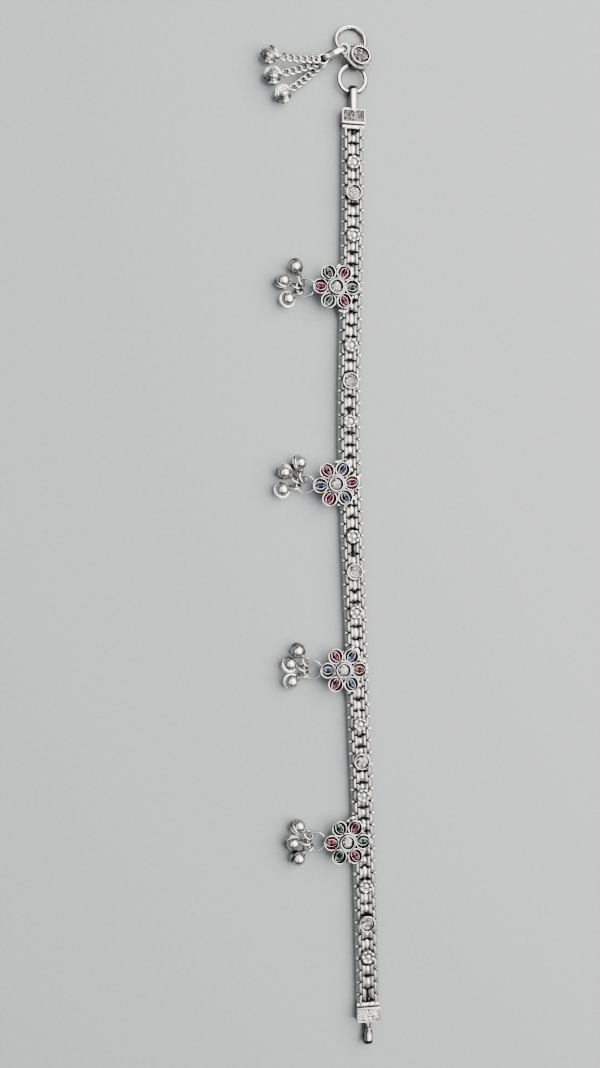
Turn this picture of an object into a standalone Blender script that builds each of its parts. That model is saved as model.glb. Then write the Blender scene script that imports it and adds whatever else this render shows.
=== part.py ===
"""Payal anklet of silver: a band of two box chains laid open, with set studs and
flowers, bells on drop rings, an end cap at each end, a hook, and a ring clasp
with a set plaque and a tassel of three bell chains.

The anklet lies on the plane Z = 0. The band runs along Y, with the ring clasp
at +Y, and the bells lie on its -X side.
"""

import math

import bmesh
import bpy
from mathutils import Matrix, Vector

MM = 0.001

# Clearances
SEAT_GAP = 0.10 * MM
CAP_GAP = 0.20 * MM
WIRE_GAP = 0.12 * MM

# Band of two box chains
BAND_LENGTH = 229.2 * MM
STRAND_THICKNESS = 3.0 * MM
STRAND_SPACING = 3.1 * MM
STRAND_POINTS = 27
# Centre line of the band: share of its length from the ring end, place along X
BAND_ROUTE = [
    (0.00, 0.60 * MM),
    (0.12, 0.50 * MM),
    (0.29, -0.30 * MM),
    (0.36, -0.35 * MM),
    (0.46, 0.40 * MM),
    (0.56, 1.30 * MM),
    (0.67, 2.20 * MM),
    (0.77, 3.20 * MM),
    (0.86, 3.80 * MM),
    (0.95, 4.40 * MM),
    (1.00, 4.60 * MM),
]

# Studs soldered across both strands
STUD_SINK = 0.25 * MM
BEZEL_STUD_RADIUS = 2.15 * MM
BEZEL_STUD_HEIGHT = 1.20 * MM
BEZEL_STUD_WALL = 0.45 * MM
ROSETTE_RADIUS = 1.85 * MM
ROSETTE_HEIGHT = 1.00 * MM
ROSETTE_LOBES = 7
ROSETTE_LOBE_DEPTH = 0.16
# Stone of the bezel stud: share of the height, share of the opening
STUD_STONE = [
    (0.50, 0.92),
    (0.85, 0.55),
]
# Dished middle of the rosette: share of the height, share of the radius
ROSETTE_DISH = [
    (0.75, 0.45),
    (1.00, 0.25),
]
# Each group of three: share of the band for the first rosette, bezel, last rosette
STUD_GROUPS = [
    (0.0430, 0.0775, 0.1255),
    (0.2500, 0.2905, 0.3362),
    (0.4667, 0.5064, 0.5523),
    (0.6795, 0.7214, 0.7600),
    (0.8632, 0.9054, 0.9434),
]

# End caps
CAP_LENGTH = 3.8 * MM
CAP_PROUD = 0.30 * MM
CAP_FRAME = 0.70 * MM
CAP_RECESS = 0.25 * MM
CAP_BEVEL = 0.20 * MM
KNUCKLE_RADIUS = 0.65 * MM
KNUCKLE_LENGTH = 1.8 * MM
CAP_TENON = 1.27 * MM

# Upright loop on the ring-side cap and hook on the other
LOOP_LENGTH = 6.6 * MM
LOOP_WIDTH = 2.1 * MM
LOOP_STRAP = 0.80 * MM
LOOP_FLOOR_GAP = 0.05 * MM
HOOK_LENGTH = 6.3 * MM
HOOK_WIDTH = 1.9 * MM
HOOK_STRAP = 0.85 * MM
HOOK_MOUTH = 1.5 * MM
HOOK_DIP = 0.20 * MM

# Flowers: a centre bezel, six petal cups and an eye beneath for the drop ring
FLOWER_ASIDE = 4.3 * MM
PETAL_COUNT = 6
PETAL_CIRCLE = 4.15 * MM
PETAL_RADIUS = 2.0 * MM
PETAL_WALL = 0.38 * MM
PETAL_HEIGHT = 1.4 * MM
CUP_FLOOR = 0.5 * MM
CENTRE_RADIUS = 2.45 * MM
CENTRE_STEP = 0.35 * MM
CENTRE_WALL = 0.35 * MM
CENTRE_HEIGHT = 1.9 * MM
CENTRE_STEP_HEIGHT = 1.33 * MM
EYE_OFFSET = 5.5 * MM
EYE_RADIUS = 0.75 * MM
EYE_WIRE = 0.5 * MM
EYE_LET_IN = 0.45 * MM
EYE_PLAY = 0.10 * MM
# Share of the band, share of the aside, turn in degrees, colours that alternate
FLOWERS = [
    (0.1860, 1.03, 0.0, ("red", "green")),
    (0.4070, 0.98, 5.5, ("blue", "red")),
    (0.6165, 0.95, 0.0, ("blue", "red")),
    (0.8105, 1.12, 0.0, ("red", "green")),
]

# Stones
STONE_RIM_DROP = 0.25 * MM
MARQUISE_LENGTH = 2.9 * MM
MARQUISE_WIDTH = 1.7 * MM
MARQUISE_POINT = 1.6
ROUND_POINT = 1.0
STONE_PLAY = 0.09 * MM
STONE_SIDES = 8
STONE_TABLE = 0.55

# Drop rings
DROP_RING_RADIUS = 2.35 * MM
DROP_RING_WIRE = 0.54 * MM
DROP_RING_LOW = 1.30 * MM

# Bells on the drop rings
BELL_RADIUS = 2.15 * MM
BELL_NECK_RADIUS = 0.62 * MM
BELL_NECK_LENGTH = 0.40 * MM
BELL_LOOP_LENGTH = 3.2 * MM
BELL_LOOP_WIDTH = 2.55 * MM
BELL_LOOP_WIRE = 0.52 * MM
BELL_LOOP_TWIST = 45.0
SLIT_WIDTH = 0.40 * MM
SLIT_DEPTH = 1.2 * MM
SLIT_ROLL = 20.0
# Bearings on the ball where its far end and its neck begin
BALL_ENDS = (-78.0, 66.0)
# Flower, bearing in degrees from the ring's centre, share of the loop's play
BELLS = [
    (1, 117.0, 0.30),
    (1, 169.0, 0.65),
    (1, 214.0, 0.30),
    (2, 109.0, 0.15),
    (2, 151.0, 0.85),
    (2, 194.0, 0.80),
    (3, 128.0, 0.80),
    (3, 167.0, 0.80),
    (3, 206.0, 0.80),
    (4, 142.0, 0.80),
    (4, 180.0, 0.80),
    (4, 218.0, 0.80),
]

# Clasp rings
LOWER_RING_RADIUS = 3.68 * MM
UPPER_RING_RADIUS = 4.02 * MM
CLASP_WIRE = 1.10 * MM
LOWER_RING_PLAY = 0.75 * MM
UPPER_RING_TILT = 8.0
STAPLE_ON_LOWER = 70.0
STAPLE_ON_UPPER = -67.0
STAPLE_SPACING = 2.95 * MM
STAPLE_WIRE = 0.66 * MM
STAPLE_GAP = 0.22 * MM

# Plaque: an oval setting that narrows to a small eye
PLAQUE_ASIDE = (0.36 * MM, 1.97 * MM)
PLAQUE_RADIUS = 3.3 * MM
PLAQUE_THICKNESS = 0.7 * MM
PLAQUE_BEZEL = (2.75 * MM, 2.9 * MM)
PLAQUE_BEZEL_WALL = 0.45 * MM
PLAQUE_BEZEL_HEIGHT = 1.2 * MM
PLAQUE_EYE_REACH = 4.6 * MM
PLAQUE_EYE_BEARING = 160.0
PLAQUE_EYE_RIM = 0.50 * MM
PLAQUE_RIM_WIRE = 0.45 * MM
PLAQUE_EYE_PLAY = 0.26 * MM

# Tassel: a ring through the plaque's eye, and three chains with a bell each
TASSEL_RING_LENGTH = 6.6 * MM
TASSEL_RING_FOOT = 0.30 * MM
TASSEL_RING_TOP = 5.2 * MM
TASSEL_RING_CORNER = 1.0 * MM
TASSEL_RING_WIDTH = 1.2 * MM
TASSEL_RING_STRAP = 0.45 * MM
TASSEL_BEARING = 210.0
TASSEL_STEP = 1.0 * MM
LINK_LENGTH = 2.65 * MM
LINK_WIDTH = 2.1 * MM
LINK_WIRE = 0.55 * MM
LINK_PITCH = 1.65 * MM
LINK_TWIST = 28.0
FIRST_LINK_LENGTH = 3.1 * MM
FIRST_LINK_WIDTH = 2.75 * MM
TASSEL_BELL_RADIUS = 2.4 * MM
TASSEL_NECK_LENGTH = 0.45 * MM
# Level above the ring's middle in steps, bearing at the ring, bearing at the bell,
# sag as a share of the step, links
TASSELS = [
    (1.0, 188.0, 166.0, -0.25, 7),
    (0.0, 205.0, 193.0, 0.0, 7),
    (-1.0, 228.0, 214.0, 0.40, 7),
]

# Mesh resolution
WIRE_SIDES = 5
LINK_POINTS = 10
DROP_RING_POINTS = 13
CLASP_RING_POINTS = 16
CLASP_RING_SIDES = 6
CUP_SIDES = 10
PLAQUE_POINTS = 24
TASSEL_RING_POINTS = 16
CENTRE_SIDES = 12
BELL_SIDES = 10
BELL_RINGS = 5
STUD_SIDES = 10
STRAND_ROUND_STEPS = 2
BEND_POINTS = 7
ROUTE_STEP = 0.01
MERGE_DISTANCE = 0.01 * MM
SMOOTH_ANGLE = math.radians(40)

# Metal and stones: base colour, roughness, metallic
FINISHES = {
    "silver": ((0.80, 0.79, 0.76), 0.25, 1.0),
    "clear": ((0.86, 0.85, 0.84), 0.08, 0.0),
    "red": ((0.42, 0.02, 0.07), 0.10, 0.0),
    "green": ((0.03, 0.20, 0.12), 0.10, 0.0),
    "blue": ((0.04, 0.06, 0.32), 0.10, 0.0),
}

UP = Vector((0.0, 0.0, 1.0))


def clear_scene():
    for obj in list(bpy.data.objects):
        bpy.data.objects.remove(obj)


def make_materials():
    materials = {}
    for name, (colour, roughness, metallic) in FINISHES.items():
        material = bpy.data.materials.new(name)
        material.use_nodes = True
        shader = material.node_tree.nodes["Principled BSDF"]
        shader.inputs["Base Color"].default_value = (*colour, 1.0)
        shader.inputs["Roughness"].default_value = roughness
        shader.inputs["Metallic"].default_value = metallic
        materials[name] = material
    return materials


def flat(degrees):
    """Unit vector in the plane of the surface, at a bearing from +X."""
    angle = math.radians(degrees)
    return Vector((math.cos(angle), math.sin(angle), 0.0))


def frame_of(origin, axis, side):
    """Frame at origin whose Z is the axis and whose X lies nearest to side."""
    z = axis.normalized()
    x = (side - z * side.dot(z)).normalized()
    y = z.cross(x)
    rotation = Matrix((x, y, z)).transposed().to_4x4()
    return Matrix.Translation(origin) @ rotation


def add_object(name, mesh, material):
    obj = bpy.data.objects.new(name, mesh)
    bpy.context.scene.collection.objects.link(obj)
    mesh.materials.clear()
    mesh.materials.append(material)
    mesh.shade_smooth()
    mesh.set_sharp_from_angle(angle=SMOOTH_ANGLE)
    return obj


def skin(name, rings, material, closed=False):
    """Solid through rings of as many points each, capped unless it closes on itself."""
    count = len(rings[0])
    points = [point for ring in rings for point in ring]
    faces = []
    spans = len(rings) if closed else len(rings) - 1
    for span in range(spans):
        first = span * count
        second = ((span + 1) % len(rings)) * count
        for side in range(count):
            following = (side + 1) % count
            faces.append((first + side, first + following, second + following, second + side))
    if not closed:
        faces.append(tuple(range(count)))
        faces.append(tuple(range(len(points) - count, len(points))))
    mesh = bpy.data.meshes.new(name)
    mesh.from_pydata(points, [], faces)
    shape = bmesh.new()
    shape.from_mesh(mesh)
    bmesh.ops.recalc_face_normals(shape, faces=shape.faces)
    shape.to_mesh(mesh)
    shape.free()
    return add_object(name, mesh, material)


def round_ring(frame, along, radius, sides, lobe=0.0):
    """Circle about the frame's Z; every second point is drawn in by the lobe's share."""
    ring = []
    for index in range(sides):
        angle = 2.0 * math.pi * (index + 0.5) / sides
        reach = radius * (1.0 - lobe * (index % 2))
        ring.append(frame @ Vector((reach * math.cos(angle), reach * math.sin(angle), along)))
    return ring


def turned(name, frame, profile, sides, material, lobe=0.0):
    """Turned solid from pairs of place along the axis and radius."""
    rings = [round_ring(frame, along, radius, sides, lobe) for along, radius in profile]
    return skin(name, rings, material)


def round_section(wire, sides):
    """Section of a round wire as pairs of in-plane and out-of-plane offsets."""
    angles = [2.0 * math.pi * index / sides for index in range(sides)]
    return [(wire / 2 * math.cos(angle), wire / 2 * math.sin(angle)) for angle in angles]


def strap_section(width, thickness):
    half_width = width / 2
    half = thickness / 2
    return [(half, half_width), (-half, half_width), (-half, -half_width), (half, -half_width)]


def swept(name, path, normal, section, material, closed=True):
    """Wire or strap swept along a path that lies about in the plane of the normal."""
    rings = []
    count = len(path)
    for index, point in enumerate(path):
        ahead = path[(index + 1) % count] - point
        behind = point - path[index - 1]
        if not closed and index == 0:
            behind = ahead
        if not closed and index == count - 1:
            ahead = behind
        tangent = (ahead.normalized() + behind.normalized()).normalized()
        outward = tangent.cross(normal).normalized()
        across = outward.cross(tangent)
        rings.append([point + outward * a + across * b for a, b in section])
    return skin(name, rings, material, closed)


def outline_round(circles, points):
    """Outline drawn tight round circles given as x, y and radius."""
    outline = []
    for index in range(points):
        angle = 2.0 * math.pi * (index + 0.5) / points
        x = math.cos(angle)
        y = math.sin(angle)
        circle = max(circles, key=lambda row: row[0] * x + row[1] * y + row[2])
        outline.append((circle[0] + circle[2] * x, circle[1] + circle[2] * y))
    return outline


def oval_path(frame, half_length, half_width, points, twist=0.0):
    """Oval in the frame's XY plane, longest along X, rolled about X from end to end."""
    path = []
    for index in range(points):
        angle = 2.0 * math.pi * (index + 0.5) / points
        x = half_length * math.cos(angle)
        y = half_width * math.sin(angle)
        roll = math.radians(twist) * x / half_length
        path.append(frame @ Vector((x, y * math.cos(roll), y * math.sin(roll))))
    return path


def combine(target, others, operation="UNION"):
    """Join or cut a solid with others, which are used up."""
    for other in others:
        modifier = target.modifiers.new("combine", "BOOLEAN")
        modifier.operation = operation
        modifier.solver = "EXACT"
        modifier.object = other
    graph = bpy.context.evaluated_depsgraph_get()
    mesh = bpy.data.meshes.new_from_object(target.evaluated_get(graph))
    material = target.data.materials[0]
    target.modifiers.clear()
    target.data = mesh
    mesh.materials.clear()
    mesh.materials.append(material)
    mesh.shade_smooth()
    mesh.set_sharp_from_angle(angle=SMOOTH_ANGLE)
    for other in others:
        bpy.data.objects.remove(other)
    return target


def route_side(share):
    """Place of the band's centre line along X, on a smooth curve through the route."""
    shares = [row[0] for row in BAND_ROUTE]
    places = [row[1] for row in BAND_ROUTE]
    last = len(shares) - 1
    span = 0
    while span < last - 1 and share > shares[span + 1]:
        span += 1

    def slope(index):
        before = max(index - 1, 0)
        after = min(index + 1, last)
        return (places[after] - places[before]) / (shares[after] - shares[before])

    width = shares[span + 1] - shares[span]
    t = (share - shares[span]) / width
    start_weight = 2 * t ** 3 - 3 * t ** 2 + 1
    end_weight = 1 - start_weight
    start_pull = (t ** 3 - 2 * t ** 2 + t) * width * slope(span)
    end_pull = (t ** 3 - t ** 2) * width * slope(span + 1)
    return start_weight * places[span] + end_weight * places[span + 1] + start_pull + end_pull


def on_band(share, aside=0.0, height=0.0):
    """Point beside the band's centre line; aside is towards +X."""
    before = max(share - ROUTE_STEP, 0.0)
    after = min(share + ROUTE_STEP, 1.0)
    run = Vector((route_side(before) - route_side(after), BAND_LENGTH * (after - before), 0.0))
    across = run.normalized().cross(UP)
    centre = Vector((route_side(share), BAND_LENGTH * (0.5 - share), height))
    return centre + across * aside


def strand(name, aside, material):
    """One box chain, as a tube along the route."""
    curve = bpy.data.curves.new(name, "CURVE")
    curve.dimensions = "3D"
    curve.bevel_depth = STRAND_THICKNESS / 2
    curve.bevel_resolution = STRAND_ROUND_STEPS
    curve.use_fill_caps = True
    curve.twist_mode = "Z_UP"
    spline = curve.splines.new("POLY")
    spline.points.add(STRAND_POINTS - 1)
    for index, point in enumerate(spline.points):
        place = on_band(index / (STRAND_POINTS - 1), aside, STRAND_THICKNESS / 2)
        point.co = (*place, 1.0)
    guide = bpy.data.objects.new(name + "_route", curve)
    bpy.context.scene.collection.objects.link(guide)
    graph = bpy.context.evaluated_depsgraph_get()
    mesh = bpy.data.meshes.new_from_object(guide.evaluated_get(graph))
    bpy.data.objects.remove(guide)
    shape = bmesh.new()
    shape.from_mesh(mesh)
    bmesh.ops.remove_doubles(shape, verts=shape.verts, dist=MERGE_DISTANCE)
    bmesh.ops.recalc_face_normals(shape, faces=shape.faces)
    shape.to_mesh(mesh)
    shape.free()
    return add_object(name, mesh, material)


def bezel_stud(name, place, material):
    """Round bezel with a recessed stone, in one with it."""
    inner = BEZEL_STUD_RADIUS - BEZEL_STUD_WALL
    profile = [
        (0.0, BEZEL_STUD_RADIUS),
        (BEZEL_STUD_HEIGHT, BEZEL_STUD_RADIUS),
        (BEZEL_STUD_HEIGHT, inner),
    ]
    profile.extend((BEZEL_STUD_HEIGHT * level, inner * reach) for level, reach in STUD_STONE)
    return turned(name, Matrix.Translation(place), profile, STUD_SIDES, material)


def rosette_stud(name, place, material):
    """Cast rosette with lobes round a raised middle."""
    profile = [
        (0.0, ROSETTE_RADIUS),
        (ROSETTE_HEIGHT, ROSETTE_RADIUS),
    ]
    profile.extend((ROSETTE_HEIGHT * level, ROSETTE_RADIUS * reach) for level, reach in ROSETTE_DISH)
    frame = Matrix.Translation(place)
    return turned(name, frame, profile, 2 * ROSETTE_LOBES, material, lobe=ROSETTE_LOBE_DEPTH)


def make_band(materials):
    """Both strands and the studs soldered across them."""
    silver = materials["silver"]
    left = strand("band", -STRAND_SPACING / 2, silver)
    right = strand("right_strand", STRAND_SPACING / 2, silver)
    seat = STRAND_THICKNESS - STUD_SINK
    studs = []
    for first, middle, last in STUD_GROUPS:
        studs.append(rosette_stud("stud", on_band(first, 0.0, seat), silver))
        studs.append(bezel_stud("stud", on_band(middle, 0.0, seat), silver))
        studs.append(rosette_stud("stud", on_band(last, 0.0, seat), silver))
    return combine(left, [right] + studs)


def block(name, low, high, material):
    ring = [(low.x, low.y), (high.x, low.y), (high.x, high.y), (low.x, high.y)]
    rings = [[Vector((x, y, z)) for x, y in ring] for z in (low.z, high.z)]
    return skin(name, rings, material)


def cap_body(name, share, outward, material):
    """Box that closes the band's end, with a frame round a recessed panel on top."""
    half_width = (STRAND_SPACING + STRAND_THICKNESS) / 2
    height = STRAND_THICKNESS + CAP_PROUD
    inner_face = outward * (BAND_LENGTH / 2 + CAP_GAP)
    outer_face = inner_face + outward * CAP_LENGTH
    x = route_side(share)
    near = min(inner_face, outer_face)
    far = max(inner_face, outer_face)
    low = Vector((x - half_width, near, 0.0))
    high = Vector((x + half_width, far, height))
    body = block(name, low, high, material)
    bevel = body.modifiers.new("edges", "BEVEL")
    bevel.width = CAP_BEVEL
    bevel.segments = 1
    low = Vector((x - half_width + CAP_FRAME, near + CAP_FRAME, height - CAP_RECESS))
    high = Vector((x + half_width - CAP_FRAME, far - CAP_FRAME, height + CAP_RECESS))
    panel = block("panel", low, high, material)
    return combine(body, [panel], "DIFFERENCE"), outer_face


def loop_middle():
    """Height of the ring wire in the upright loop."""
    return LOOP_FLOOR_GAP + (STRAND_THICKNESS + CAP_PROUD - LOOP_FLOOR_GAP) / 2


def ring_side_cap(materials):
    """Cap with the upright loop that holds the lower clasp ring."""
    silver = materials["silver"]
    body, face = cap_body("end_cap_ring_side", 0.0, 1.0, silver)
    x = route_side(0.0)
    half_height = loop_middle() - LOOP_FLOOR_GAP - LOOP_STRAP / 2
    straight_start = face - CAP_TENON + half_height
    straight_end = face + LOOP_LENGTH - LOOP_STRAP / 2 - half_height
    path = []
    for centre, first in ((straight_end, -90.0), (straight_start, 90.0)):
        for index in range(BEND_POINTS):
            angle = math.radians(first + 180.0 * index / (BEND_POINTS - 1))
            y = centre + half_height * math.cos(angle)
            path.append(Vector((x, y, loop_middle() + half_height * math.sin(angle))))
    section = strap_section(LOOP_WIDTH, LOOP_STRAP)
    loop = swept("loop", path, Vector((1, 0, 0)), section, silver)
    half_width = (STRAND_SPACING + STRAND_THICKNESS) / 2
    top = STRAND_THICKNESS + CAP_PROUD
    corner = Vector((x - half_width + CAP_BEVEL, face, top - KNUCKLE_RADIUS))
    frame = frame_of(corner, Vector((1, 0, 0)), UP)
    ends = [(0.0, KNUCKLE_RADIUS), (KNUCKLE_LENGTH, KNUCKLE_RADIUS)]
    knuckle = turned("knuckle", frame, ends, CUP_SIDES, silver)
    return combine(body, [loop, knuckle])


def hook_side_cap(materials):
    """Cap with the open hook that catches a clasp ring."""
    silver = materials["silver"]
    body, face = cap_body("end_cap_hook_side", 1.0, -1.0, silver)
    x = route_side(1.0)
    half_height = loop_middle() - LOOP_FLOOR_GAP - HOOK_STRAP / 2
    bend = face - HOOK_LENGTH + HOOK_STRAP / 2 + half_height
    path = [Vector((x, face + CAP_TENON, loop_middle() - half_height))]
    for index in range(BEND_POINTS):
        angle = math.radians(-90.0 - 180.0 * index / (BEND_POINTS - 1))
        y = bend + half_height * math.cos(angle)
        path.append(Vector((x, y, loop_middle() + half_height * math.sin(angle))))
    tip_height = loop_middle() + half_height
    path.append(Vector((x, (bend + face - HOOK_MOUTH) / 2, tip_height - HOOK_DIP)))
    path.append(Vector((x, face - HOOK_MOUTH, tip_height)))
    section = strap_section(HOOK_WIDTH, HOOK_STRAP)
    hook = swept("hook", path, Vector((1, 0, 0)), section, silver, closed=False)
    return combine(body, [hook])


def flower_centre(number):
    share, aside, _, _ = FLOWERS[number - 1]
    return on_band(share, -aside * FLOWER_ASIDE, STRAND_THICKNESS + SEAT_GAP)


def petal_bearing(number, petal):
    turn = FLOWERS[number - 1][2]
    return 180.0 + turn - petal * 360.0 / PETAL_COUNT


def eye_centre(number):
    """Middle of the eye, whose upper wire is let into the petal's floor."""
    drop = EYE_RADIUS + EYE_WIRE / 2 - EYE_LET_IN
    return flower_centre(number) + flat(180.0) * EYE_OFFSET - UP * drop


def cup(name, centre, outer, wall, height, floor, sides, material):
    profile = [(0.0, outer), (height, outer), (height, outer - wall), (floor, outer - wall)]
    return turned(name, Matrix.Translation(centre), profile, sides, material)


def make_flower(number, materials):
    """Centre bezel with a stepped rim, six petal cups and the eye, soldered together."""
    silver = materials["silver"]
    centre = flower_centre(number)
    inner = CENTRE_RADIUS - CENTRE_STEP
    profile = [
        (0.0, CENTRE_RADIUS),
        (CENTRE_STEP_HEIGHT, CENTRE_RADIUS),
        (CENTRE_STEP_HEIGHT, inner),
        (CENTRE_HEIGHT, inner),
        (CENTRE_HEIGHT, inner - CENTRE_WALL),
        (CUP_FLOOR, inner - CENTRE_WALL),
    ]
    name = f"flower_setting_{number}"
    setting = turned(name, Matrix.Translation(centre), profile, CENTRE_SIDES, silver)
    pieces = []
    for petal in range(PETAL_COUNT):
        place = centre + flat(petal_bearing(number, petal)) * PETAL_CIRCLE
        pieces.append(cup("petal", place, PETAL_RADIUS, PETAL_WALL, PETAL_HEIGHT,
                          CUP_FLOOR, CUP_SIDES, silver))
    frame = frame_of(eye_centre(number), Vector((0, 1, 0)), UP)
    path = oval_path(frame, EYE_RADIUS, EYE_RADIUS, LINK_POINTS)
    section = round_section(EYE_WIRE, WIRE_SIDES)
    pieces.append(swept("eye", path, Vector((0, 1, 0)), section, silver))
    return combine(setting, pieces)


def faceted_stone(name, centre, bearing, size, power, material):
    """Stone with a flat table and a facet for each side; power above 1 points its ends."""
    half_length, half_width, height = size
    rings = []
    for scale, level in ((1.0, 0.0), (STONE_TABLE, height)):
        ring = []
        for index in range(STONE_SIDES):
            angle = 2.0 * math.pi * index / STONE_SIDES
            rise = math.sin(angle)
            along = half_length * math.cos(angle)
            across = half_width * math.copysign(abs(rise) ** power, rise)
            offset = flat(bearing) * along + flat(bearing + 90.0) * across
            ring.append(centre + offset * scale + UP * level)
        rings.append(ring)
    return skin(name, rings, material)


def make_stones(number, materials):
    """The clear centre stone and the coloured petal stones of one flower."""
    centre = flower_centre(number)
    seat = UP * (CUP_FLOOR + SEAT_GAP)
    reach = CENTRE_RADIUS - CENTRE_STEP - CENTRE_WALL - SEAT_GAP - STONE_PLAY
    height = CENTRE_HEIGHT - STONE_RIM_DROP - CUP_FLOOR - SEAT_GAP
    name = f"centre_stone_{number}"
    size = (reach, reach, height)
    faceted_stone(name, centre + seat, 0.0, size, ROUND_POINT, materials["clear"])
    colours = FLOWERS[number - 1][3]
    height = PETAL_HEIGHT - STONE_RIM_DROP - CUP_FLOOR - SEAT_GAP
    size = (MARQUISE_LENGTH / 2, MARQUISE_WIDTH / 2, height)
    for petal in range(PETAL_COUNT):
        bearing = petal_bearing(number, petal)
        place = centre + flat(bearing) * PETAL_CIRCLE + seat
        colour = colours[petal % 2]
        name = f"{colour}_stone_{number}_{petal + 1}"
        faceted_stone(name, place, bearing, size, MARQUISE_POINT, materials[colour])


def drop_ring_frame(number):
    """Frame of the drop ring: origin at its centre, X down its slope, Y along +Y."""
    hole_bottom = eye_centre(number).z - EYE_RADIUS + EYE_WIRE / 2
    high = hole_bottom + DROP_RING_WIRE / 2 + WIRE_GAP
    drop = high - DROP_RING_LOW
    run = math.sqrt((2 * DROP_RING_RADIUS) ** 2 - drop ** 2)
    slope = Vector((-run, 0.0, -drop)).normalized()
    held = Vector((eye_centre(number).x + EYE_PLAY, eye_centre(number).y, high))
    centre = held + slope * DROP_RING_RADIUS
    return frame_of(centre, slope.cross(Vector((0, 1, 0))), slope)


def make_drop_ring(number, materials):
    frame = drop_ring_frame(number)
    path = oval_path(frame, DROP_RING_RADIUS, DROP_RING_RADIUS, DROP_RING_POINTS)
    normal = frame.to_3x3() @ UP
    section = round_section(DROP_RING_WIRE, WIRE_SIDES)
    return swept(f"drop_ring_{number}", path, normal, section, materials["silver"])


def ball_profile(radius, neck_radius, neck_end):
    """Ball from its far end to a short neck."""
    profile = []
    first, last = BALL_ENDS
    for index in range(BELL_RINGS):
        angle = math.radians(first + (last - first) * index / (BELL_RINGS - 1))
        profile.append((radius * math.sin(angle), radius * math.cos(angle)))
    profile.append((neck_end, neck_radius))
    return profile


def bell_place(number, bearing, play):
    """Ball centre, place of the ring wire and direction of the wire there."""
    frame = drop_ring_frame(number)
    centre = frame.translation
    loop_start = BELL_RADIUS + BELL_NECK_LENGTH + BELL_LOOP_WIRE / 2
    loop_end = loop_start + BELL_LOOP_LENGTH - 2 * BELL_LOOP_WIRE
    margin = DROP_RING_WIRE / 2 / math.cos(math.radians(BELL_LOOP_TWIST)) + WIRE_GAP
    held = loop_start + margin + play * (loop_end - loop_start - 2 * margin)
    angle = math.radians(bearing)
    slope = frame.to_3x3() @ Vector((1, 0, 0))
    outward = slope * -math.cos(angle) + Vector((0, 1, 0)) * math.sin(angle)
    wire = centre + outward * DROP_RING_RADIUS
    tangent = slope * math.sin(angle) + Vector((0, 1, 0)) * math.cos(angle)
    rise = BELL_RADIUS - wire.z
    reach = math.sqrt(held ** 2 - rise ** 2)
    ball = Vector((wire.x, wire.y, BELL_RADIUS)) + flat(bearing) * reach
    return ball, wire, tangent


def make_bell(name, number, bearing, play, materials):
    """Round bell with a slit, a neck and a loop that the drop ring passes through."""
    silver = materials["silver"]
    ball, wire, tangent = bell_place(number, bearing, play)
    axis = (wire - ball).normalized()
    neck_end = BELL_RADIUS + BELL_NECK_LENGTH
    frame = frame_of(ball, axis, tangent)
    profile = ball_profile(BELL_RADIUS, BELL_NECK_RADIUS, neck_end)
    bell = turned(name, frame, profile, BELL_SIDES, silver)
    half_length = (BELL_LOOP_LENGTH - BELL_LOOP_WIRE) / 2
    half_width = (BELL_LOOP_WIDTH - BELL_LOOP_WIRE) / 2
    middle = ball + axis * (neck_end + half_length)
    normal = Matrix.Rotation(math.radians(BELL_LOOP_TWIST), 3, axis) @ tangent
    loop_frame = frame_of(middle, normal, axis)
    path = oval_path(loop_frame, half_length, half_width, LINK_POINTS)
    section = round_section(BELL_LOOP_WIRE, WIRE_SIDES)
    loop = swept("loop", path, loop_frame.to_3x3() @ UP, section, silver)
    combine(bell, [loop])
    roll = Matrix.Rotation(math.radians(SLIT_ROLL), 3, axis)
    upright = roll @ (UP - axis * UP.dot(axis)).normalized()
    slit_frame = frame_of(ball, upright, axis)
    reach = BELL_RADIUS + SLIT_WIDTH
    half = SLIT_WIDTH / 2
    low = Vector((-reach, -half, -reach))
    high = Vector((SLIT_DEPTH - BELL_RADIUS, half, reach))
    slit = block("slit", low, high, silver)
    slit.data.transform(slit_frame)
    return combine(bell, [slit], "DIFFERENCE")


def lower_ring_centre():
    """The lower ring's wire lies in the cap's loop, a little short of its end."""
    loop_end = BAND_LENGTH / 2 + CAP_GAP + CAP_LENGTH + LOOP_LENGTH - LOOP_STRAP
    wire = loop_end - LOWER_RING_PLAY - CLASP_WIRE / 2
    return Vector((route_side(0.0), wire + LOWER_RING_RADIUS, loop_middle()))


def staple_places():
    """Where the plaque's two staples hold the lower and the upper ring."""
    first = lower_ring_centre() + flat(STAPLE_ON_LOWER) * LOWER_RING_RADIUS
    return first, first + Vector((0.0, STAPLE_SPACING, 0.0))


def upper_ring_frame():
    """Frame of the upper ring, which slopes down from its staple."""
    tilt = math.radians(-UPPER_RING_TILT)
    slope = Vector((0.0, math.cos(tilt), math.sin(tilt)))
    angle = math.radians(STAPLE_ON_UPPER)
    arm = Vector((1, 0, 0)) * math.cos(angle) + slope * math.sin(angle)
    centre = staple_places()[1] - arm * UPPER_RING_RADIUS
    return frame_of(centre, Vector((1, 0, 0)).cross(slope), Vector((1, 0, 0)))


def make_clasp_rings(materials):
    lower_frame = Matrix.Translation(lower_ring_centre())
    section = round_section(CLASP_WIRE, CLASP_RING_SIDES)
    rows = [
        ("clasp_ring_lower", lower_frame, LOWER_RING_RADIUS),
        ("clasp_ring_upper", upper_ring_frame(), UPPER_RING_RADIUS),
    ]
    for name, frame, radius in rows:
        path = oval_path(frame, radius, radius, CLASP_RING_POINTS)
        swept(name, path, frame.to_3x3() @ UP, section, materials["silver"])


def staple_radius():
    return CLASP_WIRE / 2 + STAPLE_WIRE / 2 + STAPLE_GAP


def plaque_back():
    """Height of the plaque's underside, halfway up the staples' upper wire."""
    return loop_middle() + staple_radius()


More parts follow.
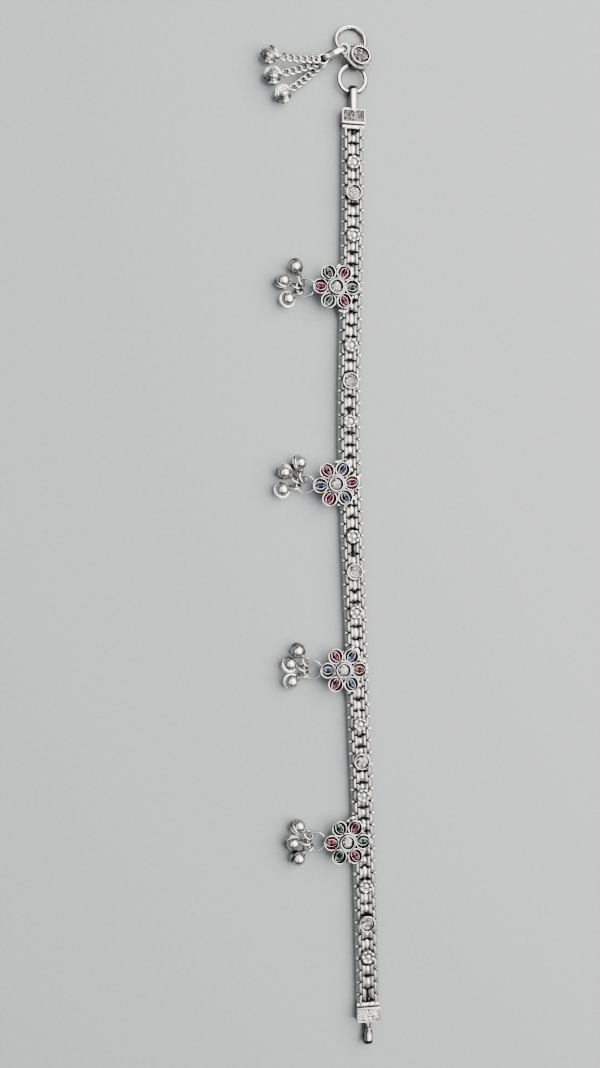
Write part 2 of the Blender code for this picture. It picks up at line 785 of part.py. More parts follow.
def plaque_centre():
    first = staple_places()[0]
    return Vector((first.x + PLAQUE_ASIDE[0], first.y + PLAQUE_ASIDE[1], plaque_back()))


def plaque_eye():
    return plaque_centre() + flat(PLAQUE_EYE_BEARING) * PLAQUE_EYE_REACH


def eye_hole_radius():
    return TASSEL_RING_WIDTH / 2 + PLAQUE_EYE_PLAY


def teardrop(level):
    """Outline round the oval's circle and the small eye's circle."""
    centre = plaque_centre()
    eye = plaque_eye()
    circles = [
        (centre.x, centre.y, PLAQUE_RADIUS),
        (eye.x, eye.y, eye_hole_radius() + PLAQUE_EYE_RIM),
    ]
    return [Vector((x, y, level)) for x, y in outline_round(circles, PLAQUE_POINTS)]


def make_plaque(materials):
    """Plate, oval bezel, rim of the small eye and two staples, soldered together."""
    silver = materials["silver"]
    back = plaque_back()
    front = back + PLAQUE_THICKNESS
    plaque = skin("clasp_plaque", [teardrop(back), teardrop(front)], silver)
    centre = plaque_centre()
    across, along = PLAQUE_BEZEL
    wall = PLAQUE_BEZEL_WALL
    top = front + PLAQUE_BEZEL_HEIGHT
    sunk = back + PLAQUE_THICKNESS / 2
    floor = front + SEAT_GAP
    rings = []
    for level, inset in ((sunk, 0.0), (top, 0.0), (top, wall), (floor, wall)):
        ring = []
        for index in range(CENTRE_SIDES):
            direction = flat(360.0 * index / CENTRE_SIDES)
            reach = Vector((direction.x * (across - inset), direction.y * (along - inset), 0.0))
            ring.append(Vector((centre.x, centre.y, level)) + reach)
        rings.append(ring)
    bezel = skin("bezel", rings, silver)
    staples = []
    places = staple_places()
    for place, bearing in ((places[0], STAPLE_ON_LOWER), (places[1], STAPLE_ON_UPPER)):
        tangent = flat(bearing + 90.0)
        frame = frame_of(place, tangent, UP)
        path = oval_path(frame, staple_radius(), staple_radius(), LINK_POINTS)
        section = round_section(STAPLE_WIRE, WIRE_SIDES)
        staples.append(swept("staple", path, tangent, section, silver))
    eye = plaque_eye()
    rim_frame = Matrix.Translation(Vector((eye.x, eye.y, front)))
    rim_radius = eye_hole_radius() + PLAQUE_EYE_RIM / 2
    rim_path = oval_path(rim_frame, rim_radius, rim_radius, CUP_SIDES)
    rim = swept("rim", rim_path, UP, round_section(PLAQUE_RIM_WIRE, WIRE_SIDES), silver)
    combine(plaque, [bezel, rim] + staples)
    hole_frame = Matrix.Translation(Vector((eye.x, eye.y, back)))
    depth = 2 * PLAQUE_THICKNESS
    ends = [(-depth, eye_hole_radius()), (depth, eye_hole_radius())]
    hole = turned("hole", hole_frame, ends, CUP_SIDES, silver)
    combine(plaque, [hole], "DIFFERENCE")
    seat = Vector((centre.x, centre.y, floor + SEAT_GAP))
    height = PLAQUE_BEZEL_HEIGHT - STONE_RIM_DROP - 2 * SEAT_GAP
    size = (along - wall - SEAT_GAP, across - wall - SEAT_GAP, height)
    faceted_stone("clasp_stone", seat, 90.0, size, ROUND_POINT, materials["clear"])


def tassel_levels():
    """Heights of the strap's middle: below and above the plaque's eye, at foot and top."""
    below = plaque_back() - WIRE_GAP - TASSEL_RING_STRAP / 2
    rim_top = plaque_back() + PLAQUE_THICKNESS + PLAQUE_RIM_WIRE / 2
    above = rim_top + WIRE_GAP + TASSEL_RING_STRAP / 2
    foot = TASSEL_RING_FOOT + TASSEL_RING_STRAP / 2
    top = TASSEL_RING_TOP - TASSEL_RING_STRAP / 2
    return below, above, foot, top


def make_tassel_ring(materials):
    """Upright strap ring, narrow where it passes the plaque's eye, tall at the chains."""
    below, above, foot, top = tassel_levels()
    reach = TASSEL_RING_LENGTH - TASSEL_RING_STRAP
    narrow = (above - below) / 2
    wide = TASSEL_RING_CORNER
    circles = [
        (narrow, (above + below) / 2, narrow),
        (reach - wide, foot + wide, wide),
        (reach - wide, top - wide, wide),
    ]
    eye = plaque_eye()
    start = Vector((eye.x, eye.y, 0.0))
    outline = outline_round(circles, TASSEL_RING_POINTS)
    path = [start + flat(TASSEL_BEARING) * x + UP * z for x, z in outline]
    section = strap_section(TASSEL_RING_WIDTH, TASSEL_RING_STRAP)
    swept("tassel_ring", path, flat(TASSEL_BEARING + 90.0), section, materials["silver"])


def tassel_stations(row):
    """Centre of each link of one chain, then the bell, with the bearing at each."""
    level, first, last, sag, links = row
    eye = plaque_eye()
    _, _, foot, top = tassel_levels()
    ring_reach = TASSEL_RING_LENGTH - TASSEL_RING_STRAP
    ring_end = Vector((eye.x, eye.y, 0.0)) + flat(TASSEL_BEARING) * ring_reach
    start = ring_end + UP * ((foot + top) / 2 + level * TASSEL_STEP)
    overlap = LINK_LENGTH - LINK_WIRE - LINK_PITCH
    first_reach = (FIRST_LINK_LENGTH + LINK_LENGTH) / 2 - LINK_WIRE - overlap
    last_reach = LINK_LENGTH / 2 + TASSEL_NECK_LENGTH + TASSEL_BELL_RADIUS - LINK_WIRE
    steps = [first_reach] + [LINK_PITCH] * (links - 2) + [last_reach]
    length = sum(steps)
    hole = FIRST_LINK_LENGTH / 2 - LINK_WIRE
    place = start + flat(first) * (hole - TASSEL_RING_WIDTH / 2 - WIRE_GAP)
    stations = [(place, first)]
    gone = 0.0
    for step in steps:
        bearing = first + (last - first) * (gone + step / 2) / length
        place = place + flat(bearing) * step
        gone += step
        t = gone / length
        straight = start.z + (TASSEL_BELL_RADIUS - start.z) * t ** 2
        height = straight - sag * TASSEL_STEP * 4 * t * (1 - t)
        place = Vector((place.x, place.y, height))
        stations.append((place, bearing))
    return stations


def make_tassel(number, row, materials):
    """One curb chain with its bell, fused."""
    silver = materials["silver"]
    stations = tassel_stations(row)
    links = stations[:-1]
    pieces = []
    for index, (place, bearing) in enumerate(links):
        is_first = index == 0
        length = FIRST_LINK_LENGTH if is_first else LINK_LENGTH
        width = FIRST_LINK_WIDTH if is_first else LINK_WIDTH
        ahead = stations[index + 1][0]
        behind = links[max(index - 1, 0)][0]
        direction = ahead - behind
        if is_first:
            direction = flat(bearing)
        frame = frame_of(place, direction.cross(UP).cross(direction), direction)
        half_length = (length - LINK_WIRE) / 2
        half_width = (width - LINK_WIRE) / 2
        twist = 0.0 if is_first else LINK_TWIST
        path = oval_path(frame, half_length, half_width, LINK_POINTS, twist)
        section = round_section(LINK_WIRE, WIRE_SIDES)
        pieces.append(swept("link", path, frame.to_3x3() @ UP, section, silver))
    ball, _ = stations[-1]
    axis = (links[-1][0] - ball).normalized()
    neck_end = (links[-1][0] - ball).length - LINK_LENGTH / 2 + LINK_WIRE / 2
    profile = ball_profile(TASSEL_BELL_RADIUS, BELL_NECK_RADIUS, neck_end)
    pieces.append(turned("bell", frame_of(ball, axis, UP), profile, BELL_SIDES, silver))
    chain = pieces[0]
    chain.name = f"tassel_chain_{number}"
    return combine(chain, pieces[1:])


def rest_on_origin():
    """Move the whole anklet so that its box stands centred on the origin."""
    bpy.context.view_layer.update()
    corners = []
    for obj in bpy.data.objects:
        corners.extend(obj.matrix_world @ vertex.co for vertex in obj.data.vertices)
    low = [min(corner[axis] for corner in corners) for axis in range(3)]
    high = [max(corner[axis] for corner in corners) for axis in range(3)]
    shift = Vector(((low[0] + high[0]) / 2, (low[1] + high[1]) / 2, low[2]))
    for obj in bpy.data.objects:
        obj.location = obj.location - shift


def main():
    clear_scene()
    materials = make_materials()
    make_band(materials)
    ring_side_cap(materials)
    hook_side_cap(materials)
    for number in range(1, len(FLOWERS) + 1):
        make_flower(number, materials)
        make_stones(number, materials)
        make_drop_ring(number, materials)
    for index, (number, bearing, play) in enumerate(BELLS):
        make_bell(f"bell_{number}_{index % 3 + 1}", number, bearing, play, materials)
    make_clasp_rings(materials)
    make_plaque(materials)
    make_tassel_ring(materials)
    for number, row in enumerate(TASSELS, start=1):
        make_tassel(number, row, materials)
    rest_on_origin()


main()
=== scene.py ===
"""Looks of the payal anklet: box-chain links, studs, set flowers, bells, clasp and tassel."""

from math import copysign, cos, pi, radians, sin, sqrt

import bpy
import numpy as np
from mathutils import Matrix, Vector


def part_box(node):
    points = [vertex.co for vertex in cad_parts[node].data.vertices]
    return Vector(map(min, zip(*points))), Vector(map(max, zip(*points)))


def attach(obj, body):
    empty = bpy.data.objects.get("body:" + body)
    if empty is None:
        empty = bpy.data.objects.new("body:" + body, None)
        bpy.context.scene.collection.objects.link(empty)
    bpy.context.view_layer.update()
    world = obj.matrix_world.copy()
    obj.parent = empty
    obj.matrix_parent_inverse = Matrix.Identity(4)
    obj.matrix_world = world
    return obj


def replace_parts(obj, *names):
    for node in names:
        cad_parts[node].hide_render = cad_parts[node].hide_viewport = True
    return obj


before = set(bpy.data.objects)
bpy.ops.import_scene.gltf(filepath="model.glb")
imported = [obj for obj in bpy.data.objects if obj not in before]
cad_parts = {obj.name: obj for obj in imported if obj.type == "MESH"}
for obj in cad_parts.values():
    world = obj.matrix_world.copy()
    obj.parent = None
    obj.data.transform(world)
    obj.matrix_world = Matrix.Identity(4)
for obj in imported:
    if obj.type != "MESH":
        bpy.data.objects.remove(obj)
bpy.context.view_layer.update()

MM = 0.001
ACROSS = Vector((1.0, 0.0, 0.0))
ALONG = Vector((0.0, 1.0, 0.0))
UP = Vector((0.0, 0.0, 1.0))

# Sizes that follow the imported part
BAND_LENGTH = 229.2 * MM
STRAND_THICKNESS = 3.0 * MM
STRAND_SPACING = 3.1 * MM
HALF_BAND = (STRAND_SPACING + STRAND_THICKNESS) / 2
SEAT_GAP = 0.10 * MM
CAP_GAP = 0.20 * MM
WIRE_GAP = 0.12 * MM
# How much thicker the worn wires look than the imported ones
RING_FULLNESS = 1.08
CLASP_FULLNESS = 1.12
LINK_FULLNESS = 1.22
# Share of the band's length from the ring end, and how far aside it lies there, in mm
BAND_ROUTE = [
    (0.00, 0.60), (0.12, 0.50), (0.29, -0.30), (0.36, -0.35), (0.46, 0.40), (0.56, 1.30),
    (0.67, 2.20), (0.77, 3.20), (0.86, 3.80), (0.95, 4.40), (1.00, 4.60),
]
# Shares of the band's length: rosette, bezel stud, rosette
STUD_GROUPS = [
    (0.0430, 0.0775, 0.1255),
    (0.2500, 0.2905, 0.3362),
    (0.4667, 0.5064, 0.5523),
    (0.6795, 0.7214, 0.7600),
    (0.8632, 0.9054, 0.9434),
]
STUD_SEAT = STRAND_THICKNESS - 0.25 * MM
BEZEL_STUD_RADIUS = 2.15 * MM
BEZEL_STUD_HEIGHT = 1.20 * MM
ROSETTE_RADIUS = 1.85 * MM
ROSETTE_HEIGHT = 1.00 * MM
CAP_LENGTH = 3.8 * MM
CAP_HEIGHT = 3.3 * MM
LOOP_LENGTH = 6.6 * MM
LOOP_STRAP = 0.80 * MM
LOOP_FLOOR_GAP = 0.05 * MM
# How far the loop and the hook reach into their caps
CAP_ROOT = 1.27 * MM
HOOK_LENGTH = 6.3 * MM
HOOK_STRAP = 0.85 * MM
HOOK_MOUTH = 1.5 * MM
FLOWER_ASIDE = 4.3 * MM
PETAL_CIRCLE = 4.15 * MM
PETAL_RADIUS = 2.0 * MM
PETAL_HEIGHT = 1.4 * MM
CENTRE_RADIUS = 2.45 * MM
CENTRE_HEIGHT = 1.9 * MM
EYE_OFFSET = 5.5 * MM
EYE_RADIUS = 0.75 * MM
EYE_WIRE = 0.5 * MM
EYE_LET_IN = 0.45 * MM
EYE_PLAY = 0.10 * MM
# Share of the band's length, how far aside, turn in degrees, colours of the petals in turn
FLOWERS = [
    (0.1860, 1.03, 0.0, ("red", "green")),
    (0.4070, 0.98, 5.5, ("blue", "red")),
    (0.6165, 0.95, 0.0, ("blue", "red")),
    (0.8105, 1.12, 0.0, ("red", "green")),
]
DROP_RING_RADIUS = 2.35 * MM
DROP_RING_WIRE = 0.54 * MM
DROP_RING_LOW = 1.30 * MM
BELL_RADIUS = 2.15 * MM
BELL_NECK_RADIUS = 0.62 * MM
BELL_NECK_LENGTH = 0.40 * MM
BELL_LOOP_LENGTH = 3.2 * MM
BELL_LOOP_WIDTH = 2.55 * MM
BELL_LOOP_WIRE = 0.52 * MM
BELL_LOOP_TWIST = 45.0
# Flower, bearing, play in its loop, turn of the seam about the bell's axis, gape of its mouth
BELLS = [
    (1, 117.0, 0.30, 52, 6),
    (1, 169.0, 0.65, -38, 5),
    (1, 214.0, 0.30, 4, 3),
    (2, 109.0, 0.15, -48, 5),
    (2, 151.0, 0.85, 28, 6),
    (2, 194.0, 0.80, -12, 4),
    (3, 128.0, 0.80, 44, 6),
    (3, 167.0, 0.80, -30, 5),
    (3, 206.0, 0.80, 8, 3),
    (4, 142.0, 0.80, -55, 6),
    (4, 180.0, 0.80, 20, 5),
    (4, 218.0, 0.80, 50, 6),
]
LOWER_RING_RADIUS = 3.68 * MM
UPPER_RING_RADIUS = 4.02 * MM
CLASP_WIRE = 1.10 * MM
CLASP_RING_SHRINK = 0.165 * MM
LOWER_RING_PLAY = 0.75 * MM
UPPER_RING_TILT = 8.0
STAPLE_ON_LOWER = 70.0
STAPLE_ON_UPPER = -67.0
STAPLE_SPACING = 2.95 * MM
STAPLE_WIRE = 0.66 * MM
STAPLE_GAP = 0.22 * MM
PLAQUE_ASIDE = (0.36 * MM, 1.97 * MM)
PLAQUE_RADIUS = 3.3 * MM
PLAQUE_THICKNESS = 0.7 * MM
PLAQUE_BEZEL_HEIGHT = 1.2 * MM
PLAQUE_EYE_REACH = 4.6 * MM
PLAQUE_EYE_BEARING = 160.0
PLAQUE_EYE_RIM = 0.50 * MM
PLAQUE_EYE_HOLE = 0.86 * MM
TASSEL_RING_LENGTH = 6.6 * MM
TASSEL_RING_FOOT = 0.30 * MM
TASSEL_RING_TOP = 5.2 * MM
TASSEL_RING_CORNER = 1.0 * MM
TASSEL_RING_WIDTH = 1.2 * MM
TASSEL_RING_STRAP = 0.45 * MM
TASSEL_BEARING = 210.0
TASSEL_STEP = 1.0 * MM
LINK_LENGTH = 2.65 * MM
LINK_WIDTH = 2.1 * MM
LINK_WIRE = 0.55 * MM
LINK_PITCH = 1.65 * MM
LINK_TWIST = 28.0
LINK_SPREAD = 0.06 * MM
FIRST_LINK_LENGTH = 3.1 * MM
FIRST_LINK_WIDTH = 2.75 * MM
TASSEL_BELL_RADIUS = 2.4 * MM
TASSEL_NECK_LENGTH = 0.45 * MM
# Level on the ring, first and last bearing, sag, number of links
TASSELS = [
    (1.0, 188.0, 166.0, -0.25, 7),
    (0.0, 205.0, 193.0, 0.0, 7),
    (-1.0, 228.0, 214.0, 0.40, 7),
]

# Links of the box chains
BOX_LINK_LENGTH = 3.12 * MM
BOX_LINK_WIDTH = 2.72 * MM
BOX_LINK_WALL = 0.78 * MM
BOX_LINK_STRIP = 1.50 * MM
BOX_LINK_LEAN = 45.0
BOX_HALF_PITCH = 1.575 * MM
EDGE_CORNER_RADIUS = 0.64 * MM
EDGE_CORNER_ASIDE = STRAND_SPACING / 2 + 1.10 * MM
EDGE_CORNER_TOP = 2.36 * MM
EDGE_CORNER_LEAN = 27.0

low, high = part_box("end_cap_ring_side")
band_start = (low[0] + high[0]) / 2 - BAND_ROUTE[0][1] * MM
HOME = Vector((band_start, low[1] - BAND_LENGTH / 2 - CAP_GAP, 0.0))


# Places

move = Matrix.Translation


def turned(degrees, axis="Z", size=4):
    return Matrix.Rotation(radians(degrees), size, axis)


def flat(degrees):
    angle = radians(degrees)
    return Vector((cos(angle), sin(angle), 0.0))


def frame_of(origin, axis, side):
    """Frame at origin whose Z is the axis and whose X lies nearest to side."""
    z = axis.normalized()
    x = (side - z * side.dot(z)).normalized()
    y = z.cross(x)
    return move(origin) @ Matrix((x, y, z)).transposed().to_4x4()


def route_side(share):
    shares = [row[0] for row in BAND_ROUTE]
    places = [row[1] * MM for row in BAND_ROUTE]
    last = len(shares) - 1
    span = 0
    while span < last - 1 and share > shares[span + 1]:
        span += 1

    def slope(index):
        before = max(index - 1, 0)
        after = min(index + 1, last)
        return (places[after] - places[before]) / (shares[after] - shares[before])

    width = shares[span + 1] - shares[span]
    t = (share - shares[span]) / width
    start_weight = 2 * t ** 3 - 3 * t ** 2 + 1
    start_pull = (t ** 3 - 2 * t ** 2 + t) * width * slope(span)
    end_pull = (t ** 3 - t ** 2) * width * slope(span + 1)
    return start_weight * places[span] + (1 - start_weight) * places[span + 1] + start_pull + end_pull


def band_run(share):
    """Direction of the band towards the ring end."""
    before = max(share - 0.01, 0.0)
    after = min(share + 0.01, 1.0)
    run = Vector((route_side(before) - route_side(after), BAND_LENGTH * (after - before), 0.0))
    return run.normalized()


def on_band(share, aside=0.0, height=0.0):
    across = band_run(share).cross(UP)
    centre = Vector((route_side(share), BAND_LENGTH * (0.5 - share), height))
    return HOME + centre + across * aside


def loop_middle():
    return LOOP_FLOOR_GAP + (CAP_HEIGHT - LOOP_FLOOR_GAP) / 2


def flower_centre(number):
    share, aside, _, _ = FLOWERS[number - 1]
    return on_band(share, -aside * FLOWER_ASIDE, STRAND_THICKNESS + SEAT_GAP)


def petal_bearing(number, petal):
    return 180.0 + FLOWERS[number - 1][2] - petal * 60.0


def eye_centre(number):
    drop = EYE_RADIUS + EYE_WIRE / 2 - EYE_LET_IN
    return flower_centre(number) + flat(180.0) * EYE_OFFSET - UP * drop


def drop_ring_frame(number):
    hole_bottom = eye_centre(number).z - EYE_RADIUS + EYE_WIRE / 2
    high_end = hole_bottom + DROP_RING_WIRE / 2 + WIRE_GAP
    drop = high_end - DROP_RING_LOW
    run = sqrt((2 * DROP_RING_RADIUS) ** 2 - drop ** 2)
    slope = Vector((-run, 0.0, -drop)).normalized()
    held = Vector((eye_centre(number).x + EYE_PLAY, eye_centre(number).y, high_end))
    centre = held + slope * DROP_RING_RADIUS
    return frame_of(centre, slope.cross(ALONG), slope)


def bell_place(number, bearing, play):
    ring = drop_ring_frame(number)
    loop_start = BELL_RADIUS + BELL_NECK_LENGTH + BELL_LOOP_WIRE / 2
    loop_end = loop_start + BELL_LOOP_LENGTH - 2 * BELL_LOOP_WIRE
    margin = DROP_RING_WIRE / 2 / cos(radians(BELL_LOOP_TWIST)) + WIRE_GAP
    held = loop_start + margin + play * (loop_end - loop_start - 2 * margin)
    angle = radians(bearing)
    slope = ring.to_3x3() @ ACROSS
    outward = slope * -cos(angle) + ALONG * sin(angle)
    wire = ring.translation + outward * DROP_RING_RADIUS
    tangent = slope * sin(angle) + ALONG * cos(angle)
    rise = BELL_RADIUS - wire.z
    reach = sqrt(held ** 2 - rise ** 2)
    ball = Vector((wire.x, wire.y, BELL_RADIUS)) + flat(bearing) * reach
    return ball, wire, tangent


def lower_ring_centre():
    loop_end = BAND_LENGTH / 2 + CAP_GAP + CAP_LENGTH + LOOP_LENGTH - LOOP_STRAP
    wire = loop_end - LOWER_RING_PLAY - CLASP_WIRE / 2
    return HOME + Vector((route_side(0.0), wire + LOWER_RING_RADIUS, loop_middle()))


def staple_places():
    first = lower_ring_centre() + flat(STAPLE_ON_LOWER) * LOWER_RING_RADIUS
    return first, first + Vector((0.0, STAPLE_SPACING, 0.0))


def upper_ring_frame():
    tilt = radians(-UPPER_RING_TILT)
    slope = Vector((0.0, cos(tilt), sin(tilt)))
    angle = radians(STAPLE_ON_UPPER)
    arm = ACROSS * cos(angle) + slope * sin(angle)
    centre = staple_places()[1] - arm * UPPER_RING_RADIUS
    return frame_of(centre, ACROSS.cross(slope), ACROSS)


def staple_radius():
    return CLASP_WIRE / 2 + STAPLE_WIRE / 2 + STAPLE_GAP


def plaque_back():
    return loop_middle() + staple_radius()


def plaque_centre():
    first = staple_places()[0]
    return Vector((first.x + PLAQUE_ASIDE[0], first.y + PLAQUE_ASIDE[1], plaque_back()))


def plaque_eye():
    return plaque_centre() + flat(PLAQUE_EYE_BEARING) * PLAQUE_EYE_REACH


def tassel_levels():
    below = plaque_back() - WIRE_GAP - TASSEL_RING_STRAP / 2
    rim_top = plaque_back() + PLAQUE_THICKNESS + 0.225 * MM
    above = rim_top + WIRE_GAP + TASSEL_RING_STRAP / 2
    foot = TASSEL_RING_FOOT + TASSEL_RING_STRAP / 2
    top = TASSEL_RING_TOP - 0.03 * MM - TASSEL_RING_STRAP / 2
    return below, above, foot, top


def tassel_stations(row):
    level, first, last, sag, links = row
    eye = plaque_eye()
    _, _, foot, top = tassel_levels()
    ring_reach = TASSEL_RING_LENGTH - TASSEL_RING_STRAP
    ring_end = Vector((eye.x, eye.y, 0.0)) + flat(TASSEL_BEARING) * ring_reach
    start = ring_end + UP * ((foot + top) / 2 + level * TASSEL_STEP)
    overlap = LINK_LENGTH - LINK_WIRE - LINK_PITCH
    first_reach = (FIRST_LINK_LENGTH + LINK_LENGTH) / 2 - LINK_WIRE - overlap
    last_reach = LINK_LENGTH / 2 + TASSEL_NECK_LENGTH + TASSEL_BELL_RADIUS - LINK_WIRE
    steps = [first_reach] + [LINK_PITCH] * (links - 2) + [last_reach]
    length = sum(steps)
    hole = FIRST_LINK_LENGTH / 2 - LINK_WIRE
    place = start + flat(first) * (hole - TASSEL_RING_WIDTH / 2 - WIRE_GAP)
    stations = [(place, first)]
    gone = 0.0
    for step in steps:
        bearing = first + (last - first) * (gone + step / 2) / length
        place = place + flat(bearing) * step
        gone += step
        t = gone / length
        straight = start.z + (TASSEL_BELL_RADIUS - start.z) * t ** 2
        height = straight - sag * TASSEL_STEP * 4 * t * (1 - t)
        place = Vector((place.x, place.y, height))
        stations.append((place, bearing))
    return stations


# Meshes


class Shape:
    """Points and faces gathered from several forms, made into one mesh piece."""

    def __init__(self):
        self.points = []
        self.faces = []
        self.count = 0

    def add(self, points, faces, matrix=None):
        points = np.asarray(points, dtype=float).reshape(-1, 3)
        if matrix is not None:
            turn = np.array(matrix.to_3x3())
            points = points @ turn.T + np.array(matrix.translation)
        self.points.append(points)
        self.faces.extend([index + self.count for index in face] for face in faces)
        self.count += len(points)
        return self

    def bare(self, name, material):
        """Plain object, as Boolean work takes it."""
        mesh = bpy.data.meshes.new(name)
        mesh.from_pydata(np.concatenate(self.points).tolist(), [], self.faces)
        mesh.materials.append(material)
        obj = bpy.data.objects.new(name, mesh)
        bpy.context.scene.collection.objects.link(obj)
        return obj

    def make(self, name, material, slot="silver", angle=38.0):
        """Piece of the anklet; edges steeper than the angle stay sharp."""
        obj = self.bare(name, material)
        obj.data.shade_smooth()
        obj.data.set_sharp_from_angle(angle=radians(angle))
        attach(obj, "root")
        return obj


def loft(rings, closed=False):
    """Points and faces through rings of as many points each, with an end face unless closed."""
    rings = np.asarray(rings, dtype=float)
    spans, count = rings.shape[0], rings.shape[1]
    faces = []
    for span in range(spans if closed else spans - 1):
        first = span * count
        second = ((span + 1) % spans) * count
        for side in range(count):
            following = (side + 1) % count
            faces.append((first + side, first + following, second + following, second + side))
    if not closed:
        faces.append(tuple(range(count))[::-1])
        faces.append(tuple(range((spans - 1) * count, spans * count)))
    return rings.reshape(-1, 3), faces


def full_turn(sides, shift=0.0):
    """Angles once round, the first of them shifted by a share of a step."""
    return 2 * np.pi * (np.arange(sides) + shift) / sides


def level_ring(x, y, height):
    """Ring of points at one height, or at a height for each."""
    return np.stack([x, y, np.full(len(x), height)], 1)


def ring_at(radius, angles, height):
    return level_ring(radius * np.cos(angles), radius * np.sin(angles), height)


def lathe(profile, sides):
    """Turned form about Z from pairs of height and radius."""
    angles = full_turn(sides, 0.5)
    return loft([ring_at(radius, angles, height) for height, radius in profile])


def round_section(wire, sides=12):
    return ring_at(wire / 2, full_turn(sides), 0.0)[:, :2]


def sweep(path, normal, section, closed=True, sizes=None):
    """Form swept along a path; the section's first axis points outward in its plane."""
    path = np.asarray(path, dtype=float)
    normal = np.asarray(normal, dtype=float)
    ahead = np.roll(path, -1, 0) - path
    behind = path - np.roll(path, 1, 0)
    if not closed:
        behind[0] = ahead[0]
        ahead[-1] = behind[-1]
    ahead /= np.linalg.norm(ahead, axis=1)[:, None]
    behind /= np.linalg.norm(behind, axis=1)[:, None]
    tangent = ahead + behind
    tangent /= np.linalg.norm(tangent, axis=1)[:, None]
    if normal.ndim == 1:
        normal = np.tile(normal, (len(path), 1))
    outward = np.cross(tangent, normal)
    outward /= np.linalg.norm(outward, axis=1)[:, None]
    across = np.cross(outward, tangent)
    scale = np.ones(len(path)) if sizes is None else np.asarray(sizes)
    rings = [
        p + (o[None, :] * section[:, :1] + a[None, :] * section[:, 1:]) * s
        for p, o, a, s in zip(path, outward, across, scale)
    ]
    return loft(rings, closed=closed)


def oval(half_length, half_width, points, twist=0.0):
    """Oval path in the XY plane, longest along X, rolled about X from end to end."""
    angles = full_turn(points)
    x = half_length * np.cos(angles)
    y = half_width * np.sin(angles)
    roll = np.radians(twist) * x / half_length
    return np.stack([x, y * np.cos(roll), y * np.sin(roll)], 1)


def rounded_path(half_length, half_width, radius, steps):
    """Rectangle with round corners in the XY plane."""
    points = []
    for cx, cy, first in ((1, 1, 0), (-1, 1, 90), (-1, -1, 180), (1, -1, 270)):
        for index in range(steps + 1):
            angle = radians(first + 90 * index / steps)
            x = cx * (half_length - radius) + radius * cos(angle)
            y = cy * (half_width - radius) + radius * sin(angle)
            points.append((x, y, 0.0))
    return np.array(points)


def strap_section(width, thickness, edge=0.16):
    """Strap with rounded edges; first axis across its thickness."""
    return rounded_path(thickness / 2, width / 2, min(thickness / 2, edge * MM), 2)[:, :2]


def outline_round(circles, points):
    """Tight outline round circles, each given by its centre's two places and its radius."""
    outline = []
    for angle in full_turn(points, 0.5):
        x, y = cos(angle), sin(angle)
        a, b, radius = max(circles, key=lambda row: row[0] * x + row[1] * y + row[2])
        outline.append((a + radius * x, b + radius * y))
    return outline


def torus(radius, wire, points=64, sides=14):
    return sweep(oval(radius, radius, points), UP, round_section(wire, sides))


def ball(radius, sides=12, rings=7, squash=1.0):
    angles = np.radians(np.linspace(-84, 84, rings))
    return lathe([(radius * squash * sin(a), radius * cos(a)) for a in angles], sides)


def box_form(low_corner, high_corner):
    (a, b, c), (d, e, f) = low_corner, high_corner
    points = [(a, b, c), (d, b, c), (d, e, c), (a, e, c), (a, b, f), (d, b, f), (d, e, f), (a, e, f)]
    faces = [(3, 2, 1, 0), (4, 5, 6, 7), (0, 1, 5, 4), (1, 2, 6, 5), (2, 3, 7, 6), (3, 0, 4, 7)]
    return np.array(points), faces


def carved(body, taken, bevel=0.0):
    """Points and faces of one shape without another, with its edges bevelled if asked."""
    target = body.bare("target", SILVER)
    cutter = taken.bare("cutter", SILVER)
    modifier = target.modifiers.new("cut", "BOOLEAN")
    modifier.operation = "DIFFERENCE"
    modifier.solver = "EXACT"
    modifier.object = cutter
    if bevel:
        modifier = target.modifiers.new("edges", "BEVEL")
        modifier.width = bevel
        modifier.segments = 3
        modifier.limit_method = "ANGLE"
    graph = bpy.context.evaluated_depsgraph_get()
    mesh = bpy.data.meshes.new_from_object(target.evaluated_get(graph))
    points = np.array([tuple(vertex.co) for vertex in mesh.vertices])
    faces = [tuple(polygon.vertices) for polygon in mesh.polygons]
    bpy.data.objects.remove(target)
    bpy.data.objects.remove(cutter)
    bpy.data.meshes.remove(mesh)
    return points, faces


# Materials


def nodes_of(name):
    material = bpy.data.materials.new(name)
    material.use_nodes = True
    tree = material.node_tree
    shader = tree.nodes["Principled BSDF"]
    return material, tree, shader


def fill(tree, made, values):
    """A socket given for an input is linked to it, anything else is set."""
    for key, value in values.items():
        if isinstance(value, bpy.types.NodeSocket):
            tree.links.new(value, made.inputs[key])
        elif isinstance(key, int) or key in made.inputs:
            made.inputs[key].default_value = value
        else:
            setattr(made, key, value)
    return made


def node(tree, kind, **values):
    return fill(tree, tree.nodes.new("ShaderNode" + kind), values)


def ramp(tree, source, stops):
    """Colour ramp fed by a socket; stops are pairs of place and colour."""
    made = node(tree, "ValToRGB", Fac=source)
    elements = made.color_ramp.elements
    while len(elements) < len(stops):
        elements.new(0.5)
    for element, (place, colour) in zip(elements, stops):
        element.position = place
        element.color = (*colour, 1.0)
    return made.outputs["Color"]


def grey(value):
    return (value, value, value)


# Silver's own colour, and the painted shade colour that its recesses go to
BRIGHT = (0.93, 0.915, 0.89)
HOLLOW_SHADE = (0.09, 0.083, 0.075)


